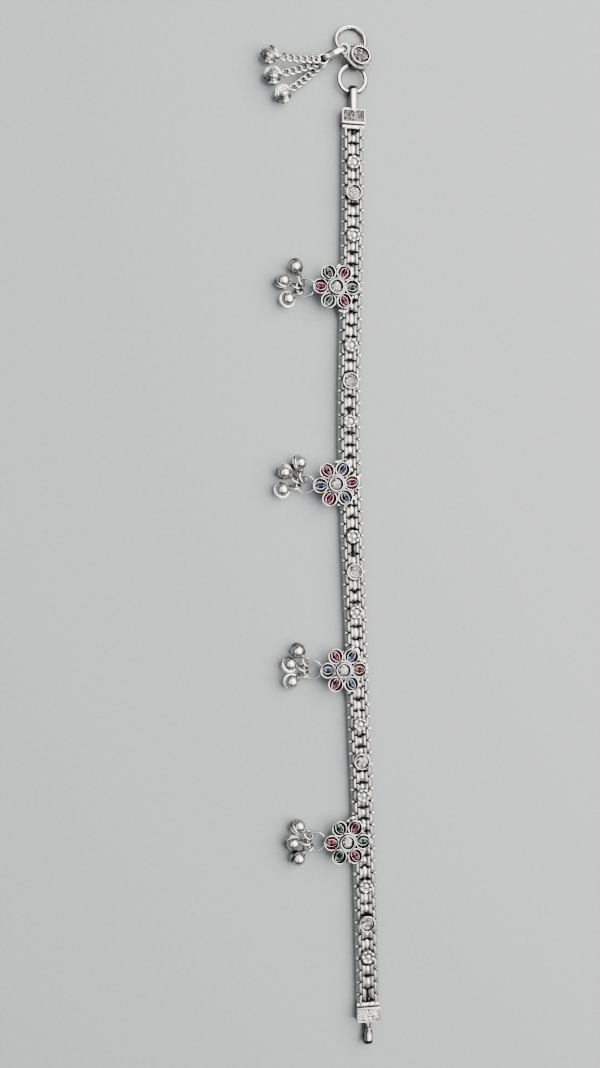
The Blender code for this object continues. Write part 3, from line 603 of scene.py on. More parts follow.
def silver_material(
    name, bright=BRIGHT, dark=HOLLOW_SHADE, rough=0.27, reach=0.0020, wear=0.88, shade_free=0.95, dents=0.10,
    flank=0.26, spread=(0.40, 0.92), metal=1.0,
):
    """Silver: bright on top and darker on its flanks, by painted shade; darker where it is
    enclosed, by painted shade that also stands for the oxide silver keeps in its hollows;
    patchily worn and finely scratched.

    Recesses narrower than reach go dark, as painted shade, up to the openness shade_free; faces
    steeper than spread[0] keep the share flank of their brightness, as painted shade, and those
    flatter than spread[1] keep all of it.
    """
    material, tree, shader = nodes_of(name)
    where = node(tree, "TexCoord").outputs["Object"]
    fine = node(tree, "TexNoise", Vector=where, Scale=2600.0, Detail=5.0, Roughness=0.6)
    broad = node(tree, "TexNoise", Vector=where, Scale=420.0, Detail=3.0, Roughness=0.5)
    shade = node(tree, "AmbientOcclusion", Distance=reach)
    shade.samples = 6
    tint = ramp(tree, broad.outputs["Fac"], [(0.30, tuple(c * wear for c in bright)), (0.62, bright)])
    # Painted shade in recesses and under parts, also standing for the oxide in the hollows
    hollow_shade = ramp(tree, shade.outputs["AO"], [(0.38, grey(0.0)), (shade_free, grey(1.0))])
    mix = node(tree, "Mix", data_type="RGBA", Factor=hollow_shade)
    fill(tree, mix, {6: (*dark, 1.0), 7: tint})
    normal = node(tree, "NewGeometry").outputs["Normal"]
    facing = node(tree, "SeparateXYZ", Vector=normal)
    # Painted shade: steep faces are darkened, so faces turned up stay bright
    flank_shade = ramp(tree, facing.outputs["Z"], [(spread[0], grey(flank)), (spread[1], grey(1.0))])
    shaded_colour = fill(tree, node(tree, "VectorMath", operation="MULTIPLY"), {0: mix.outputs[2], 1: flank_shade})
    roughness = ramp(tree, fine.outputs["Fac"], [(0.30, grey(rough * 0.75)), (0.70, grey(rough * 1.35))])
    bump = node(tree, "Bump", Strength=0.10, Distance=0.00004, Height=fine.outputs["Fac"])
    if dents:
        wave = node(tree, "Bump", Strength=dents, Distance=0.00025, Height=broad.outputs["Fac"])
        fill(tree, bump, {"Normal": wave.outputs["Normal"]})
    looks = {"Base Color": shaded_colour.outputs[0], "Roughness": roughness, "Metallic": metal}
    fill(tree, shader, {**looks, "Normal": bump.outputs["Normal"]})
    return material


def gem_material(name, painted_shadow, body, painted_flash, share):
    """Cut stone with painted light: each facet and each cell inside it gets its own painted share of
    shadow, body colour or flash.
    """
    material, tree, shader = nodes_of(name)
    where = node(tree, "TexCoord").outputs["Object"]
    facets = node(tree, "NewGeometry").outputs["True Normal"]
    spread = node(tree, "VectorMath", operation="SCALE", Scale=2.6, Vector=facets)
    turn = node(tree, "TexNoise", Scale=2.3, Detail=1.0, Vector=spread.outputs[0])
    cells = node(tree, "TexVoronoi", Scale=1900.0, Randomness=1.0, Vector=where)
    parts = node(tree, "SeparateColor", Color=cells.outputs["Color"])
    share_of_facet = node(tree, "Math", operation="MULTIPLY_ADD")
    fill(tree, share_of_facet, {0: turn.outputs["Fac"], 1: 2.4, 2: -0.68})
    # Painted light: facet and cell decide how much painted shadow or flash the stone shows
    light = node(tree, "Math", operation="MULTIPLY_ADD")
    fill(tree, light, {0: parts.outputs["Red"], 1: 0.30, 2: share_of_facet.outputs[0]})
    stops = [(0.52, painted_shadow), (0.70, body), (0.74, body), (0.74 + share, painted_flash)]
    looks = {"Roughness": 0.04, "IOR": 1.76, "Specular IOR Level": 0.15}
    fill(tree, shader, {"Base Color": ramp(tree, light.outputs[0], stops), **looks})
    return material


SILVER = silver_material("polished_silver")
CHAIN = silver_material(
    "chain_silver", dark=(0.11, 0.104, 0.090), reach=0.0013, wear=0.80, shade_free=0.84, dents=0.34,
    flank=0.20, spread=(0.42, 0.92), metal=0.90,
)
WIRE = silver_material("wire_silver", rough=0.22, wear=0.90, shade_free=0.92, dents=0.0, spread=(0.28, 0.84))
CAST = silver_material(
    "cast_silver", (0.90, 0.89, 0.86), (0.03, 0.027, 0.022), 0.26, 0.0012, 0.80, dents=0.15, flank=0.24,
)
# Bent strap silver: a narrow painted highlight along its top and painted shade over the rest of its
# curve
LOOP = silver_material(
    "bent_strap_silver", dark=(0.13, 0.122, 0.112), rough=0.24, shade_free=0.92, flank=0.17,
    spread=(0.976, 0.9999),
)
# The silver made dark: painted shade, with the painted reflection of the dim room
SHADE = silver_material(
    "shaded_silver", (0.115, 0.110, 0.101), (0.02, 0.018, 0.014), 0.28, 0.0012, 0.50, 0.92, 0.15, 0.30,
)
# Leaf-bell silver: tone worn unevenly at random, with strong painted shade on its flanks and in its
# relief
AGED_AND_SHADED = silver_material(
    "aged_and_shaded_silver", (0.92, 0.91, 0.88), (0.015, 0.013, 0.011), 0.24, 0.0010, 0.70, dents=0.15,
    flank=0.13, spread=(0.20, 0.93),
)
# Ring silver: painted shade on its flanks and in its hollows, with a narrow painted highlight along its
# top
HOOP = silver_material(
    "hoop_silver", dark=(0.06, 0.056, 0.050), rough=0.22, wear=0.86, dents=0.12, flank=0.13,
    spread=(0.60, 0.99),
)
# Petal cup floors: painted shade under the stones, and under red stones the painted red reflection of
# the stone
FLOOR_LOOKS = dict(reach=0.0010, wear=0.50, shade_free=0.90, dents=0.0, flank=0.50)
CUP_FLOOR_SHADE = silver_material(
    "cup_floor_shade_silver", (0.030, 0.027, 0.020), (0.010, 0.009, 0.007), 0.45, **FLOOR_LOOKS,
)
RED_STONE_REFLECTION = silver_material(
    "red_stone_reflection_silver", (0.075, 0.012, 0.018), (0.020, 0.004, 0.005), 0.40, **FLOOR_LOOKS,
)
# Colours of a stone's painted shadow, its body and its painted flashes, and how gently a painted flash
# comes on
STONE_LOOKS = {
    "clear": ((0.02, 0.019, 0.014), (0.30, 0.29, 0.27), (1.0, 0.98, 0.97), 0.12),
    "brilliant": ((0.06, 0.056, 0.046), (0.56, 0.53, 0.51), (1.0, 0.97, 0.96), 0.10),
    "red": ((0.006, 0.0, 0.001), (0.060, 0.001, 0.008), (0.40, 0.16, 0.20), 0.30),
    "green": ((0.001, 0.002, 0.001), (0.003, 0.020, 0.010), (0.26, 0.34, 0.29), 0.30),
    "blue": ((0.001, 0.001, 0.008), (0.006, 0.008, 0.050), (0.26, 0.30, 0.46), 0.30),
    "smoky": ((0.012, 0.006, 0.005), (0.085, 0.050, 0.048), (1.0, 0.96, 0.94), 0.12),
}
STONES = {name: gem_material(f"{name}_stone", *looks) for name, looks in STONE_LOOKS.items()}


# Box chains


def box_link():
    """One link: a strip bent into a rounded square, in its own XY plane with X along the chain."""
    half_length = BOX_LINK_LENGTH / 2 - BOX_LINK_WALL / 2
    half_width = BOX_LINK_WIDTH / 2 - BOX_LINK_WALL / 2
    path = rounded_path(half_length, half_width, 0.52 * MM, 5)
    section = strap_section(BOX_LINK_STRIP, BOX_LINK_WALL, 0.30)
    return sweep(path, UP, section)


def link_shares():
    """Shares of the band's length at which the links lie."""
    reach = BAND_LENGTH - BOX_LINK_LENGTH - 0.04 * MM
    count = round(reach / BOX_HALF_PITCH) + 1
    first = (BAND_LENGTH - reach) / 2 / BAND_LENGTH
    return [first + index / (count - 1) * reach / BAND_LENGTH for index in range(count)]


def make_chain(name, aside):
    """One strand: links set end in end, each turned a quarter from the last."""
    rng = np.random.default_rng(11 if aside < 0 else 12)
    link = box_link()
    shape = Shape()
    for index, share in enumerate(link_shares()):
        run = band_run(share)
        side = run.cross(UP)
        inner = radians(BOX_LINK_LEAN) * (1 if aside < 0 else -1)
        angle = inner if index % 2 else inner - copysign(pi / 2, inner)
        turn = UP * cos(angle) + side * sin(angle)
        matrix = Matrix((run, turn, run.cross(turn))).transposed().to_4x4()
        slack = turned(rng.uniform(-3.5, 3.5), "X") @ turned(rng.uniform(-2.5, 2.5))
        matrix = matrix @ slack
        matrix.translation = on_band(share, aside, STRAND_THICKNESS / 2)
        shape.add(*link, matrix)
    end_lumps = ((-0.82, 0.60), (-0.25, 0.76), (0.35, 0.70), (0.84, 0.58))
    for end in (1, -1):
        for offset, radius in end_lumps:
            share = 0.5 + end * (0.5 - (radius - 0.16) * MM / BAND_LENGTH)
            place = on_band(share, aside + offset * MM, 1.42 * MM)
            shape.add(*ball(radius * MM, 18, 10, squash=1.55), move(place))
    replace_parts(shape.make(name, CHAIN), "band")


def make_corners():
    """Link corners that show in the notches along both edges of the band."""
    rng = np.random.default_rng(21)
    shape = Shape()
    lean = radians(EDGE_CORNER_LEAN)
    for outward in (-1, 1):
        for share in link_shares()[1::2]:
            size = EDGE_CORNER_RADIUS * rng.uniform(0.86, 1.08)
            out = band_run(share).cross(UP) * outward
            place = on_band(share, outward * EDGE_CORNER_ASIDE, EDGE_CORNER_TOP)
            axis = UP * cos(lean) + out * sin(lean)
            rows = [(-0.90, 0.0), (-0.16, 0.0), (-0.05, 0.05), (0.0, 0.16)]
            stub = lathe([(z * MM, size - inset * MM) for z, inset in rows], 3)
            shape.add(*stub, frame_of(place, axis, out))
    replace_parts(shape.make("strand_edge_corners", WIRE), "band")


def make_joins():
    """Solder lumps in the valley between the two strands."""
    rng = np.random.default_rng(5)
    shape = Shape()
    count = round(BAND_LENGTH / (2 * BOX_HALF_PITCH))
    for index in range(1, count):
        share = (index + rng.uniform(-0.12, 0.12)) / count
        place = on_band(share, rng.uniform(-0.10, 0.10) * MM, rng.uniform(1.95, 2.12) * MM)
        size = rng.uniform(0.62, 0.74) * MM
        form = Matrix.Diagonal((1.15, rng.uniform(1.6, 2.4), 0.8, 1.0))
        if rng.uniform() < 0.9:
            shape.add(*ball(size, 16, 9), move(place) @ form)
    section = strap_section(2.60 * MM, 1.05 * MM, 0.28)
    half_width = HALF_BAND - 0.18 * MM
    for end in (0.0, 1.0):
        share = abs(end - 0.36 * MM / BAND_LENGTH)
        places = np.linspace(-half_width, half_width, 14)
        path = [on_band(share, aside, (1.42 + rng.uniform(-0.05, 0.05)) * MM) for aside in places]
        sizes = 1 - rng.uniform(0.0, 0.07, 14)
        shape.add(*sweep(path, UP, section, closed=False, sizes=sizes))
    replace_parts(shape.make("strand_joins", CHAIN), "band")


# Studs


# Stones keep all their edges sharp but the flattest
FACETED = 4.0
# Girdle, crown facets and flat table
ROUND_CUT = ((0.0, 0.96, 0.0), (0.16, 1.0, 0.0), (0.62, 0.80, 0.5), (1.0, 0.54, 0.0))
OVAL_CUT = (
    (0.0, 0.92, 0.0), (0.14, 0.985, 0.0), (0.42, 0.84, 0.5), (0.68, 0.68, 0.0), (0.86, 0.50, 0.5),
)


def cut_stone(radius, height, sides=8, rows=ROUND_CUT):
    """Stone of one radius and height; its rows give level, reach and shift."""
    return facet_rows([ring_at(radius * b, full_turn(sides, c), height * a) for a, b, c in rows])


def facet_rows(rings):
    """Closed form whose rows of facets are triangles, so that each has its own slope."""
    count = len(rings[0])
    points = np.concatenate(rings)
    faces = [tuple(range(count))[::-1], tuple(range(len(points) - count, len(points)))]
    for row in range(len(rings) - 1):
        for side in range(count):
            following = (side + 1) % count
            a = row * count + side
            b = row * count + following
            c = (row + 1) * count + side
            d = (row + 1) * count + following
            faces.append((a, b, c))
            faces.append((b, d, c))
    return points, faces


def rosette():
    """Cast rosette: lobes round a bead, in a dish."""
    lobes = 7
    sides = lobes * 8
    angles = full_turn(sides)
    wave = np.abs(np.cos(lobes * angles / 2))
    rings = []
    rows = [
        (0.00, 1.00, 0.00, 0.0), (0.50, 1.00, 0.12, 0.0), (0.80, 0.97, 0.16, 0.0),
        (0.96, 0.88, 0.16, 0.10), (1.00, 0.76, 0.14, 0.22), (0.95, 0.64, 0.10, 0.30),
        (0.78, 0.52, 0.05, 0.20), (0.58, 0.42, 0.00, 0.0), (0.58, 0.36, 0.00, 0.0),
        (0.82, 0.32, 0.00, 0.0), (0.97, 0.20, 0.00, 0.0), (1.00, 0.07, 0.00, 0.0),
    ]
    for level, reach, lobe, groove in rows:
        r = ROSETTE_RADIUS * reach * (1 - lobe * (1 - wave))
        z = ROSETTE_HEIGHT * (level - groove * (1 - wave) ** 1.5)
        rings.append(ring_at(r, angles, z))
    return loft(rings)


def bezel_cup(outer, height, wall, floor, sides=48):
    """Cup with a rounded rim."""
    inner = outer - wall
    profile = [
        (0.0, outer), (height * 0.25, outer), (height - wall, outer - wall * 0.12),
        (height - wall * 0.45, outer - wall * 0.02), (height - wall * 0.14, outer - wall * 0.14),
        (height, outer - wall / 2), (height - wall * 0.14, inner + wall * 0.14),
        (height - wall * 0.5, inner), (floor + wall * 0.3, inner), (floor, inner - wall * 0.3),
    ]
    return lathe(profile, sides)


def make_studs():
    bezels = Shape()
    rosettes = Shape()
    stones = Shape()
    for group, (first, middle, last) in enumerate(STUD_GROUPS):
        seat = move(on_band(middle, 0.0, STUD_SEAT))
        cup = bezel_cup(BEZEL_STUD_RADIUS - 0.04 * MM, BEZEL_STUD_HEIGHT, 0.30 * MM, 0.45 * MM)
        bezels.add(*cup, seat)
        stones.add(*cut_stone(1.60 * MM, 0.56 * MM), seat @ move((0, 0, 0.50 * MM)) @ turned(17 * group))
        for share in (first, last):
            seat = move(on_band(share, 0.0, STUD_SEAT))
            rosettes.add(*rosette(), seat @ turned(share * 900))
    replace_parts(bezels.make("bezel_studs", CAST), "band")
    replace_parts(rosettes.make("rosette_studs", CAST), "band")
    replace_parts(stones.make("stud_stones", STONES["clear"], angle=FACETED), "band")


# End caps


def cap_form(share, outward):
    """Rounded box with a framed panel sunk in its top; the panel's corners are returned for a stippled
    floor.
    """
    x = route_side(share) + HOME.x
    inner_face = HOME.y + outward * (BAND_LENGTH / 2 + CAP_GAP)
    outer_face = inner_face + outward * CAP_LENGTH
    near, far = min(inner_face, outer_face), max(inner_face, outer_face)
    body = Shape().add(*box_form((x - HALF_BAND, near, 0.0), (x + HALF_BAND, far, CAP_HEIGHT)))
    edge, wide, depth = 0.32 * MM, 0.55 * MM, 0.34 * MM
    first, last = (wide, edge) if outward > 0 else (edge, wide)
    panel_low = (x - HALF_BAND + edge, near + first, CAP_HEIGHT - depth)
    panel_high = (x + HALF_BAND - edge, far - last, CAP_HEIGHT + MM)
    panel = Shape().add(*box_form(panel_low, panel_high))
    shape = Shape().add(*carved(body, panel, bevel=0.15 * MM))
    return shape, x, inner_face, outer_face, (panel_low, panel_high)


def stipple(low_corner, high_corner, seed):
    """Stippled floor of a panel: a fine grid with small punched dents and grains."""
    rng = np.random.default_rng(seed)
    columns, rows = 56, 40
    xs = np.linspace(low_corner[0] + 0.05 * MM, high_corner[0] - 0.05 * MM, columns)
    ys = np.linspace(low_corner[1] + 0.05 * MM, high_corner[1] - 0.05 * MM, rows)
    grid_x, grid_y = np.meshgrid(xs, ys)
    level = np.full_like(grid_x, low_corner[2] + 0.05 * MM)
    for _ in range(95):
        cx = rng.uniform(xs[0], xs[-1])
        cy = rng.uniform(ys[0], ys[-1])
        size = rng.uniform(0.14, 0.26) * MM
        lift = rng.uniform(-0.10, 0.22) * MM
        level += lift * np.exp(-((grid_x - cx) ** 2 + (grid_y - cy) ** 2) / (2 * (size / 2) ** 2))
    level = np.clip(level, low_corner[2] + 0.01 * MM, low_corner[2] + 0.30 * MM)
    points = np.stack([grid_x, grid_y, level], 2).reshape(-1, 3)
    corners = [row * columns + column for row in range(rows - 1) for column in range(columns - 1)]
    return points, [(a, a + 1, a + columns + 1, a + columns) for a in corners]


def domed_section(width, thickness, sides=24):
    """Strap with a full, rounded back."""
    angles = full_turn(sides)
    x, y = (np.sign(wave) * np.abs(wave) ** 0.9 for wave in (np.cos(angles), np.sin(angles)))
    return np.stack([x * thickness / 2, y * width / 2], 1)


def smooth_path(points, steps=6):
    """Open curve through the points, each span cut into steps."""
    points = [np.array(point, dtype=float) for point in points]
    padded = [2 * points[0] - points[1]] + points + [2 * points[-1] - points[-2]]
    out = []
    for index in range(1, len(padded) - 2):
        p0, p1, p2, p3 = padded[index - 1:index + 3]
        for step in range(steps):
            t = step / steps
            a = 2 * p1
            b = p2 - p0
            c = 2 * p0 - 5 * p1 + 4 * p2 - p3
            d = -p0 + 3 * p1 - 3 * p2 + p3
            out.append((a + b * t + c * t ** 2 + d * t ** 3) / 2)
    out.append(points[-1])
    return np.array(out)


def half_round(x, y, height, radius, first, step):
    """Half a circle in the upright plane along the anklet."""
    angles = [radians(first + step * index) for index in range(13)]
    return [(x, y + radius * cos(angle), height + radius * sin(angle)) for angle in angles]


def make_ring_side_cap():
    shape, x, inner, face, panel = cap_form(0.0, 1.0)
    floor = Shape().add(*stipple(*panel, seed=4))
    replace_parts(floor.make("ring_end_panel", SHADE), "end_cap_ring_side")
    middle = loop_middle()
    half_height = middle - LOOP_FLOOR_GAP - LOOP_STRAP / 2
    straight_start = face - CAP_ROOT + half_height
    straight_end = face + LOOP_LENGTH - LOOP_STRAP / 2 - half_height
    path = half_round(x, straight_end, middle, half_height, -90.0, 15.0)
    path += half_round(x, straight_start, middle, half_height, 90.0, 15.0)
    strap = Shape().add(*sweep(path, ACROSS, domed_section(2.1 * MM, LOOP_STRAP)))
    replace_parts(strap.make("ring_end_loop", LOOP, angle=60), "end_cap_ring_side")
    corner = Vector((x - HALF_BAND + 0.2 * MM, face, CAP_HEIGHT - 0.65 * MM))
    profile = [(0.0, 0.42), (0.12, 0.58), (0.9, 0.64), (1.68, 0.58), (1.8, 0.42)]
    knuckle = lathe([(z * MM, r * MM) for z, r in profile], 20)
    shape.add(*knuckle, frame_of(corner, ACROSS, UP))
    reach = HALF_BAND - 0.3 * MM
    ridge = [(x + side * reach, inner + 0.28 * MM, CAP_HEIGHT - 0.03 * MM) for side in (-1, 1)]
    shape.add(*sweep(smooth_path(ridge, 2), UP, round_section(0.06 * MM, 8), closed=False))
    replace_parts(shape.make("ring_end_cap", SILVER, angle=30), "end_cap_ring_side")


def make_hook_side_cap():
    shape, x, _, face, panel = cap_form(1.0, -1.0)
    floor = Shape().add(*stipple(*panel, seed=9))
    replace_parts(floor.make("hook_end_panel", CAST), "end_cap_hook_side")
    middle = loop_middle()
    half_height = middle - LOOP_FLOOR_GAP - HOOK_STRAP / 2
    bend = face - HOOK_LENGTH + HOOK_STRAP / 2 + half_height
    path = [(x, face + CAP_ROOT, middle - half_height), (x, face - 1.4 * MM, middle - half_height)]
    path += half_round(x, bend, middle, half_height, -90.0, -15.0)
    tip = middle + half_height
    path.append((x, (bend + face - HOOK_MOUTH) / 2, tip - 0.20 * MM))
    path.append((x, face - HOOK_MOUTH, tip))
    path = smooth_path(path, 3)
    sizes = np.ones(len(path))
    sizes[-3:] = (0.92, 0.80, 0.58)
    section = domed_section(2.3 * MM, HOOK_STRAP)
    strap = Shape().add(*sweep(path, ACROSS, section, closed=False, sizes=sizes))
    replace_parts(strap.make("hook_end_hook", LOOP, angle=60), "end_cap_hook_side")
    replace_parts(shape.make("hook_end_cap", SILVER, angle=30), "end_cap_hook_side")


# Flowers


POINTEDNESS = 1.35
THIN_WALL = 0.27 * MM
FLOOR_RADIUS = 1.70 * MM
OUTER_RIM_HEIGHT = 1.36 * MM
INNER_RIM_RADIUS = 1.96 * MM
# Solder lumps lie this far round a centre and round a petal, in mm
CENTRE_LUMPS = 3.42
PETAL_LUMPS = 2.15


def marquise(length, width, count=24, height=0.0):
    """Outline with a point at each end along X."""
    angles = full_turn(count)
    rise = np.sin(angles)
    y = width / 2 * np.sign(rise) * np.abs(rise) ** POINTEDNESS
    return level_ring(length / 2 * np.cos(angles), y, height)


def marquise_stone(length, width, height):
    rows = (
        (0.0, 0.90, 0.90), (0.14, 1.0, 1.0), (0.46, 0.93, 0.72), (0.74, 0.82, 0.42), (1.0, 0.60, 0.14),
    )
    return facet_rows([marquise(length * a, width * b, 10, height * level) for level, a, b in rows])


def petal_cup(seed):
    """Petal: a tall thin wall with a rounded rim, hammered a little out of round."""
    rng = np.random.default_rng(seed)
    points, faces = bezel_cup(PETAL_RADIUS, PETAL_HEIGHT, THIN_WALL, 0.30 * MM)
    angles = np.arctan2(points[:, 1], points[:, 0])
    phase = rng.uniform(0, 6.28, 3)
    wave = 1 + np.sin(2 * angles + phase[0])
    ripple = 1 + np.sin(3 * angles + phase[1])
    points[:, :2] *= (1 - 0.006 * wave - 0.004 * ripple)[:, None]
    rim = points[:, 2] > PETAL_HEIGHT * 0.6
    points[:, 2] -= 0.02 * MM * (1 + np.sin(2 * angles + phase[2])) * rim
    return points, faces


def disc(radius, low, high, sides=40):
    """Thin floor of a cup, a little narrower on top."""
    return lathe([(low * MM, radius), (high * MM, radius - 0.02 * MM)], sides)


def make_flower(number):
    """Centre with two rims, six petal cups with their stones, solder lumps and the eye."""
    share, _, _, colours = FLOWERS[number - 1]
    centre = flower_centre(number)
    band_edge = on_band(share).x + 2.9 * MM
    rng = np.random.default_rng(40 + number)
    seat = move(centre)
    shape = Shape()
    cups = Shape()
    floors = Shape().add(*disc(FLOOR_RADIUS + 0.02 * MM, 0.44, 0.50, 48), seat)
    red_floors = Shape()
    shape.add(*bezel_cup(CENTRE_RADIUS, OUTER_RIM_HEIGHT, 0.30 * MM, 0.4 * MM, sides=56), seat)
    shape.add(*bezel_cup(INNER_RIM_RADIUS, CENTRE_HEIGHT, THIN_WALL, 0.42 * MM, sides=56), seat)
    for petal in range(6):
        bearing = petal_bearing(number, petal)
        toward = flat(bearing)
        middle = centre + toward * PETAL_CIRCLE
        place = move(middle) @ turned(bearing)
        cups.add(*petal_cup(number * 10 + petal), place)
        floor = place @ move((0, 0, 0.55 * MM))
        rim = strap_section(0.56 * MM, 0.11 * MM, 0.05)
        bezel = sweep(marquise(3.05 * MM, 1.80 * MM), UP, rim)
        cups.add(*bezel, floor @ move((0, 0, 0.22 * MM)))
        colour = colours[petal % 2]
        # Floors under red stones take the painted red reflection, the others painted shade
        petal_floors = red_floors if colour == "red" else floors
        petal_floors.add(*disc(FLOOR_RADIUS, 0.42, 0.47), place)
        stone = Shape().add(*marquise_stone(2.80 * MM, 1.58 * MM, 0.58 * MM), floor)
        gem = stone.make(f"{colour}_gem_{number}_{petal + 1}", STONES[colour], colour, FACETED)
        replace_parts(gem, f"{colour}_stone_{number}_{petal + 1}")
        for side in (-1, 1):
            reach = (CENTRE_LUMPS + rng.uniform(-0.1, 0.1)) * MM
            size = rng.uniform(0.42, 0.58) * MM
            spot = centre + flat(bearing + side * 30.0 + rng.uniform(-3, 3)) * reach + UP * 0.25 * MM
            shape.add(*ball(size, 14, 8, squash=rng.uniform(0.6, 0.85)), move(spot))
        for _ in range(7 if toward.x > 0.2 else 0):
            angle = bearing + rng.uniform(-95, 95)
            spot = middle + flat(angle) * (PETAL_LUMPS + rng.uniform(0, 0.35)) * MM
            size = rng.uniform(0.38, 0.78) * MM
            if spot.x + size < band_edge:
                lump = ball(size, 14, 8, squash=rng.uniform(0.45, 0.7))
                shape.add(*lump, move(spot - UP * 0.12 * MM))
    shape.add(*torus(EYE_RADIUS, EYE_WIRE, 36, 12), frame_of(eye_centre(number), ALONG, UP))
    setting = f"flower_setting_{number}"
    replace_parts(shape.make(f"flower_centre_{number}", SILVER), setting)
    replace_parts(cups.make(f"flower_petals_{number}", WIRE), setting)
    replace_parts(floors.make(f"flower_floors_{number}", CUP_FLOOR_SHADE), setting)
    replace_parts(red_floors.make(f"flower_red_floors_{number}", RED_STONE_REFLECTION), setting)
    gem = Shape().add(*cut_stone(1.54 * MM, 1.16 * MM, 12), seat @ move((0, 0, 0.6 * MM)))
    gem = gem.make(f"clear_gem_{number}", STONES["brilliant"], "clear", FACETED)
    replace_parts(gem, f"centre_stone_{number}")


# Drop rings and bells


def make_drop_ring(number):
    points, faces = torus(DROP_RING_RADIUS, DROP_RING_WIRE * RING_FULLNESS, 72, 12)
    shape = Shape().add(points, faces, drop_ring_frame(number))
    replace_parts(shape.make(f"jump_ring_{number}", WIRE), f"drop_ring_{number}")


def bell_half():
    """One dished half: a dome on a flat flange, hollow below, with its pole along Z."""
    outline = [
        (0.02, 1.97), (0.35, 1.95), (0.72, 1.85), (1.06, 1.67), (1.35, 1.41), (1.56, 1.09),
        (1.69, 0.74), (1.73, 0.44), (1.77, 0.33), (1.90, 0.285), (2.05, 0.28), (2.125, 0.23),
        (2.13, 0.14), (2.06, 0.08), (1.86, 0.07), (1.56, 0.08), (1.50, 0.45), (1.38, 0.95),
        (1.00, 1.45), (0.50, 1.70), (0.02, 1.76),
    ]
    return lathe([(z * MM if z < 0.4 else z * 1.04 * MM, r * MM) for r, z in outline], 56)


def make_bells():
    neck_end = BELL_RADIUS + BELL_NECK_LENGTH
    half = bell_half()
    clapper = ball(0.80 * MM, 18, 10)
    collar = [
        (1.55, 0.62), (1.72, 0.86), (1.92, 0.92), (2.10, 0.84), (2.22, 0.66), (2.36, 0.60), (2.50, 0.52),
    ]
    neck = lathe([(z * MM, r * MM) for z, r in collar], 32)
    half_length = (BELL_LOOP_LENGTH - BELL_LOOP_WIRE) / 2
    half_width = (BELL_LOOP_WIDTH - BELL_LOOP_WIRE) / 2
    loop = sweep(oval(half_length, half_width, 48), UP, round_section(BELL_LOOP_WIRE * RING_FULLNESS))
    for index, (number, bearing, play, seam, gape) in enumerate(BELLS):
        place, wire, tangent = bell_place(number, bearing, play)
        axis = (wire - place).normalized()
        roll = turned(seam, axis, 3)
        pole = roll @ (UP - axis * UP.dot(axis)).normalized()
        stand = frame_of(place, axis, pole)
        hinge = Vector((0, 0, BELL_RADIUS * 0.85))
        shape = Shape()
        for side in (0, 180):
            swing = move(hinge) @ turned(-gape / 2, "Y") @ move(-hinge)
            shape.add(*half, stand @ turned(side) @ swing @ turned(90, "Y"))
        shape.add(*clapper, stand @ move((0, 0, -0.7 * MM)))
        shape.add(*neck, stand)
        middle = place + axis * (neck_end + half_length)
        normal = turned(BELL_LOOP_TWIST, axis, 3) @ tangent
        shape.add(*loop, frame_of(middle, normal, axis))
        name = f"{number}_{index % 3 + 1}"
        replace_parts(shape.make(f"ball_bell_{name}", SILVER), f"bell_{name}")


# Clasp


def make_clasp_rings():
    rows = [
        ("clasp_ring_lower", "lower_hoop", move(lower_ring_centre()), LOWER_RING_RADIUS),
        ("clasp_ring_upper", "upper_hoop", upper_ring_frame(), UPPER_RING_RADIUS),
    ]
    groove = 1 - 0.24 * np.exp(-((np.abs(np.sin(full_turn(24))) - 1) / 0.07) ** 2)
    section = round_section(CLASP_WIRE * CLASP_FULLNESS, 24) * groove[:, None]
    for target, name, place, radius in rows:
        radius -= CLASP_RING_SHRINK
        shape = Shape().add(*sweep(oval(radius, radius, 96), UP, section), place)
        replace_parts(shape.make(name, HOOP), target)


def teardrop(shrink=0.0, points=72):
    centre = plaque_centre()
    eye = plaque_eye()
    circles = [
        (centre.x, centre.y, PLAQUE_RADIUS - shrink),
        (eye.x, eye.y, PLAQUE_EYE_HOLE + PLAQUE_EYE_RIM - shrink),
    ]
    return np.array(outline_round(circles, points))


